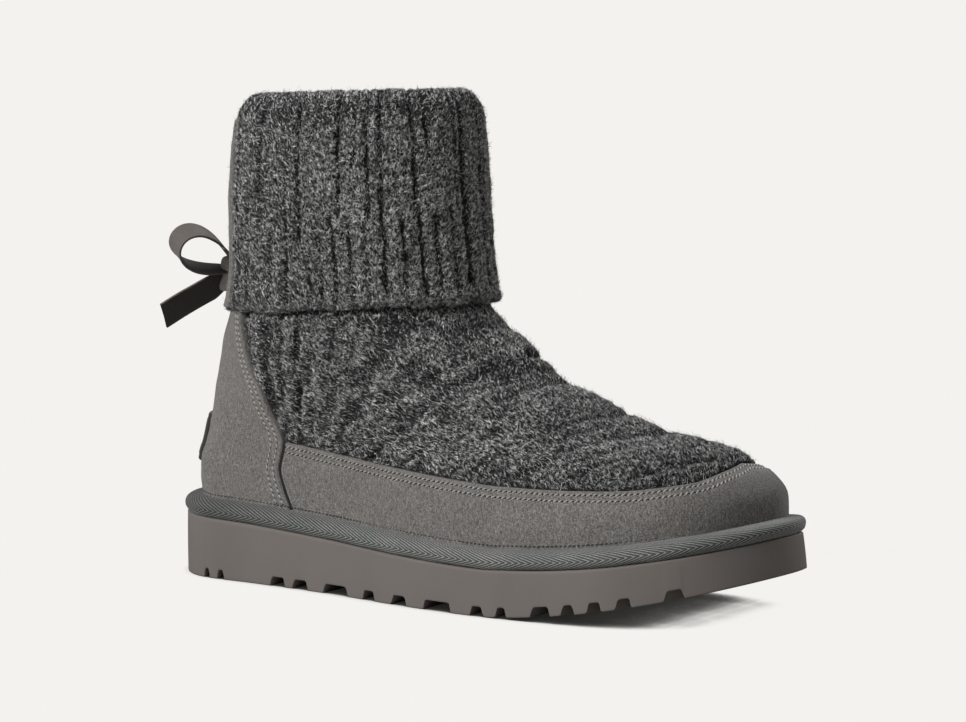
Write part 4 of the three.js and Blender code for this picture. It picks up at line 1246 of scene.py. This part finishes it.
def build_knot():
    """Knot of folded ribbon, pinched at its middle, with creases down its face."""
    sides, rows = 96, 44
    turn = np.arange(sides) / sides * 2 * np.pi
    rings, flats = [], []
    for up in np.linspace(0, 1, rows):
        off_middle = abs(2 * up - 1)
        rim = math.sqrt(max(0, 1 - off_middle ** 5))
        scale = (0.86 + 0.14 * off_middle) * (0.45 + 0.55 * rim)
        ahead, aside = (np.sign(wave) * np.abs(wave) ** 0.62 for wave in (np.cos(turn), np.sin(turn)))
        crease = 0.35 * np.sin(turn * 7 + 2.5 * noise(71, up * 3, turn)) * (0.4 + 0.6 * off_middle)
        x = (KNOT_DEPTH / 2 * scale + 0.25) * ahead * (1 + 0.06 * crease) - 0.25 * crease * (np.cos(turn) < 0)
        y = (KNOT_WIDTH / 2 * scale + 2.2) * aside * (1 + 0.05 * crease)
        rings.append(knot_centre(up) + np.column_stack([x, y, np.zeros(sides)]))
        flats.append(np.column_stack([turn * 0.06, np.full(sides, up * 0.15)]))
    middles = [ring.mean(0) for ring in (rings[0], rings[-1])]
    low, high = rows * sides, rows * sides + 1
    first = np.arange(sides)
    after, top = np.roll(first, -1), (rows - 1) * sides
    quads = grid_faces(rows, sides, True)
    lower = np.column_stack([after, first, np.full(sides, low)])
    upper = np.column_stack([top + first, top + after, np.full(sides, high)])
    faces = np.vstack([quads[:, [0, 1, 2]], quads[:, [0, 2, 3]], lower, upper])
    points, uv = np.vstack([*rings, middles]), np.vstack([*flats, np.zeros((2, 2))])
    build("bow_knot_wrap", points, faces, knot_ribbon_painted_light, "bow_knot", uv)


build_knot()


def mirrored(vector, side):
    return unit(np.array(vector, float) * np.array([1, side, 1]))


def build_ribbon(name, path, axis, width_at, node, inside):
    """Flat ribbon along a path: light on its face, dark on its back, with soft rolled edges and a slight cup."""
    normal = unit(np.cross(unit(np.gradient(path, axis=0)), axis))
    width = width_at(np.linspace(0, 1, len(path)))
    walked = walked_along(path)
    back = [(place, 1.0) for place in (-1, -0.985, -0.93, -0.8, -0.5, 0, 0.5, 0.8, 0.93, 0.985, 1)]
    front = [(-1, -0.8), (-1.02, 0), *back, (1.02, 0), (1, -0.8)]
    sides = (("face", inside, ribbon_light, front), ("back", -inside, ribbon_dark, back))
    for face, sign, material, section in sides:
        rows, flats = [], []
        for place, side in section:
            thick = RIBBON_THICKNESS / 2 * (0.7 + 0.12 * (1 - place ** 4)) * side
            ripple = 0.18 * noise(81, walked / 6, place * 1.5)
            lift = sign * thick + 0.5 * place * place * inside + ripple
            rows.append(path + axis * (place * width / 2)[:, None] + normal * lift[:, None])
            flats.append(np.column_stack([walked / FLAT_UNIT, np.full(len(path), place * 0.07)]))
        build_grid(name + "_" + face, rows, material, node, flats, turned=sign > 0)


def knot_side(side, down, axis):
    """Where a ribbon starts, just inside the knot's side."""
    lean = abs(axis[1]) * ROOT_WIDTH * RIBBON_WIDTH / 2
    return knot_centre(0.5 - down) + np.array([0, side * (KNOT_WIDTH / 2 - lean - RIBBON_THICKNESS), 0])


def pinch(share):
    return lerp(ROOT_WIDTH, 1, smooth(share / PINCH_LENGTH)) * RIBBON_WIDTH


def pinch_both(share):
    return pinch(np.minimum(share, 1 - share))


for word, side in (("lateral", -1), ("medial", 1)):
    name = "bow_loop_" + word
    out, axis = mirrored([-0.35, 0.85, 0.4], side), mirrored([0.803, 0.487, -0.33], side)
    above = unit(np.cross(axis, out) * side)
    t = np.linspace(0, 1, 90)
    reach = LOOP_LENGTH * np.sin(np.pi * t) ** 2
    bulge = LOOP_OPENING / 2 * TEARDROP * np.sin(2 * np.pi * t) * np.sin(np.pi * t)
    bulge = bulge + RIBBON_THICKNESS * (1 - 2 * t)
    path = knot_side(side, LOOP_DROP, axis) + out * reach[:, None] + above * bulge[:, None]
    build_ribbon(name, path, axis, pinch_both, name, -side)
    name = "bow_tail_" + word
    out, axis = mirrored([-0.44, 0.76, -0.44], side), mirrored([0.29, 0.62, 0.73], side)
    t = np.linspace(0, 1, 40)
    path = knot_side(side, TAIL_DROP, axis) + out * (TAIL_LENGTH * t)[:, None]
    path[:, 2] -= TAIL_SAG * (t * t - t)
    build_ribbon(name, path, axis, pinch, name, -side)


# Stage, light and camera
def split_rays(tree, others, seen, output):
    """The camera sees one shader, and all other rays meet the other."""
    is_camera = add_node(tree, "LightPath").outputs["Is Camera Ray"]
    chosen = add_node(tree, "MixShader", {"Fac": is_camera, 1: others.outputs[0], 2: seen.outputs[0]})
    tree.links.new(chosen.outputs[0], tree.nodes[output].inputs["Surface"])


# Painted floor shadow: floor colours from deep inside a corner to open ground, by how open it is within the distance
PALE = (0.905, 0.888, 0.855)
FLOOR_SHADES = [
    (0.0, (0.012, 0.012, 0.011)), (0.26, (0.045, 0.044, 0.042)), (0.38, (0.2, 0.196, 0.189)),
    (0.47, (0.62, 0.608, 0.586)), (0.6, PALE),
]
SHADE_DISTANCE = 0.0175


def build_stage():
    """Pale floor that the camera sees as a glowing colour with the soft contact shade under the sole painted in from
    how open it is; other rays meet a plain grey floor.
    """
    look = Look("pale floor", rough=1.0, sheen=0.0, specular=0.0)
    look.set("Base Color", (0.3, 0.295, 0.285))
    near = add_node(look.tree, "AmbientOcclusion", {"Distance": SHADE_DISTANCE}, samples=16)
    camera_floor_painted_shadow = add_node(look.tree, "Emission", {"Color": add_ramp(look.tree, near.outputs["AO"], FLOOR_SHADES)})
    split_rays(look.tree, look.shader, camera_floor_painted_shadow, "Material Output")
    mesh = bpy.data.meshes.new("floor")
    reach = 60.0
    corners = [(x * reach, y * reach, 0) for x, y in ((-1, -1), (1, -1), (1, 1), (-1, 1))]
    mesh.from_pydata(corners, [], [(0, 1, 2, 3)])
    mesh.materials.append(look.material)
    floor = bpy.data.objects.new("floor", mesh)
    bpy.context.scene.collection.objects.link(floor)


build_stage()


def sun(name, energy, azimuth, elevation, spread, colour=(1, 1, 1)):
    lamp = bpy.data.lights.new(name, "SUN")
    lamp.energy = energy
    lamp.angle = math.radians(spread)
    lamp.color = colour
    holder = bpy.data.objects.new(name, lamp)
    holder.rotation_euler = (math.radians(90 - elevation), 0, math.radians(azimuth))
    bpy.context.scene.collection.objects.link(holder)


sun("key", energy=2.5, azimuth=-21, elevation=33, spread=22, colour=(1.0, 0.998, 0.99))
sun("top", energy=0.12, azimuth=10, elevation=80, spread=60)
sun("rim", energy=0.95, azimuth=172, elevation=30, spread=26)

world = bpy.data.worlds.new("studio")
bpy.context.scene.world = world
world.use_nodes = True
backdrop = world.node_tree.nodes["Background"]
set_input(world.node_tree, backdrop.inputs["Color"], PALE)
dim = add_node(world.node_tree, "Background", {"Color": grey(0.9), "Strength": 0.27})
split_rays(world.node_tree, dim, backdrop, "World Output")

# Camera: its focal length and the photo's width in pixels, how far it looks down and its turn in degrees
FOCAL = 2931.23
PHOTO_WIDTH = 966
LOOKS_DOWN = 5.16
HEADING = 33.62
camera_data = bpy.data.cameras.new("camera")
camera_data.sensor_width = 36
camera_data.lens = FOCAL / PHOTO_WIDTH * camera_data.sensor_width
camera_data.clip_end = 200
camera = bpy.data.objects.new("camera", camera_data)
camera.location = (0.7422, -0.9746, 0.1988)
camera.rotation_euler = (math.radians(90 - LOOKS_DOWN), 0, math.radians(HEADING))
bpy.context.scene.collection.objects.link(camera)
bpy.context.scene.camera = camera
bpy.context.scene.view_settings.view_transform = "Standard"
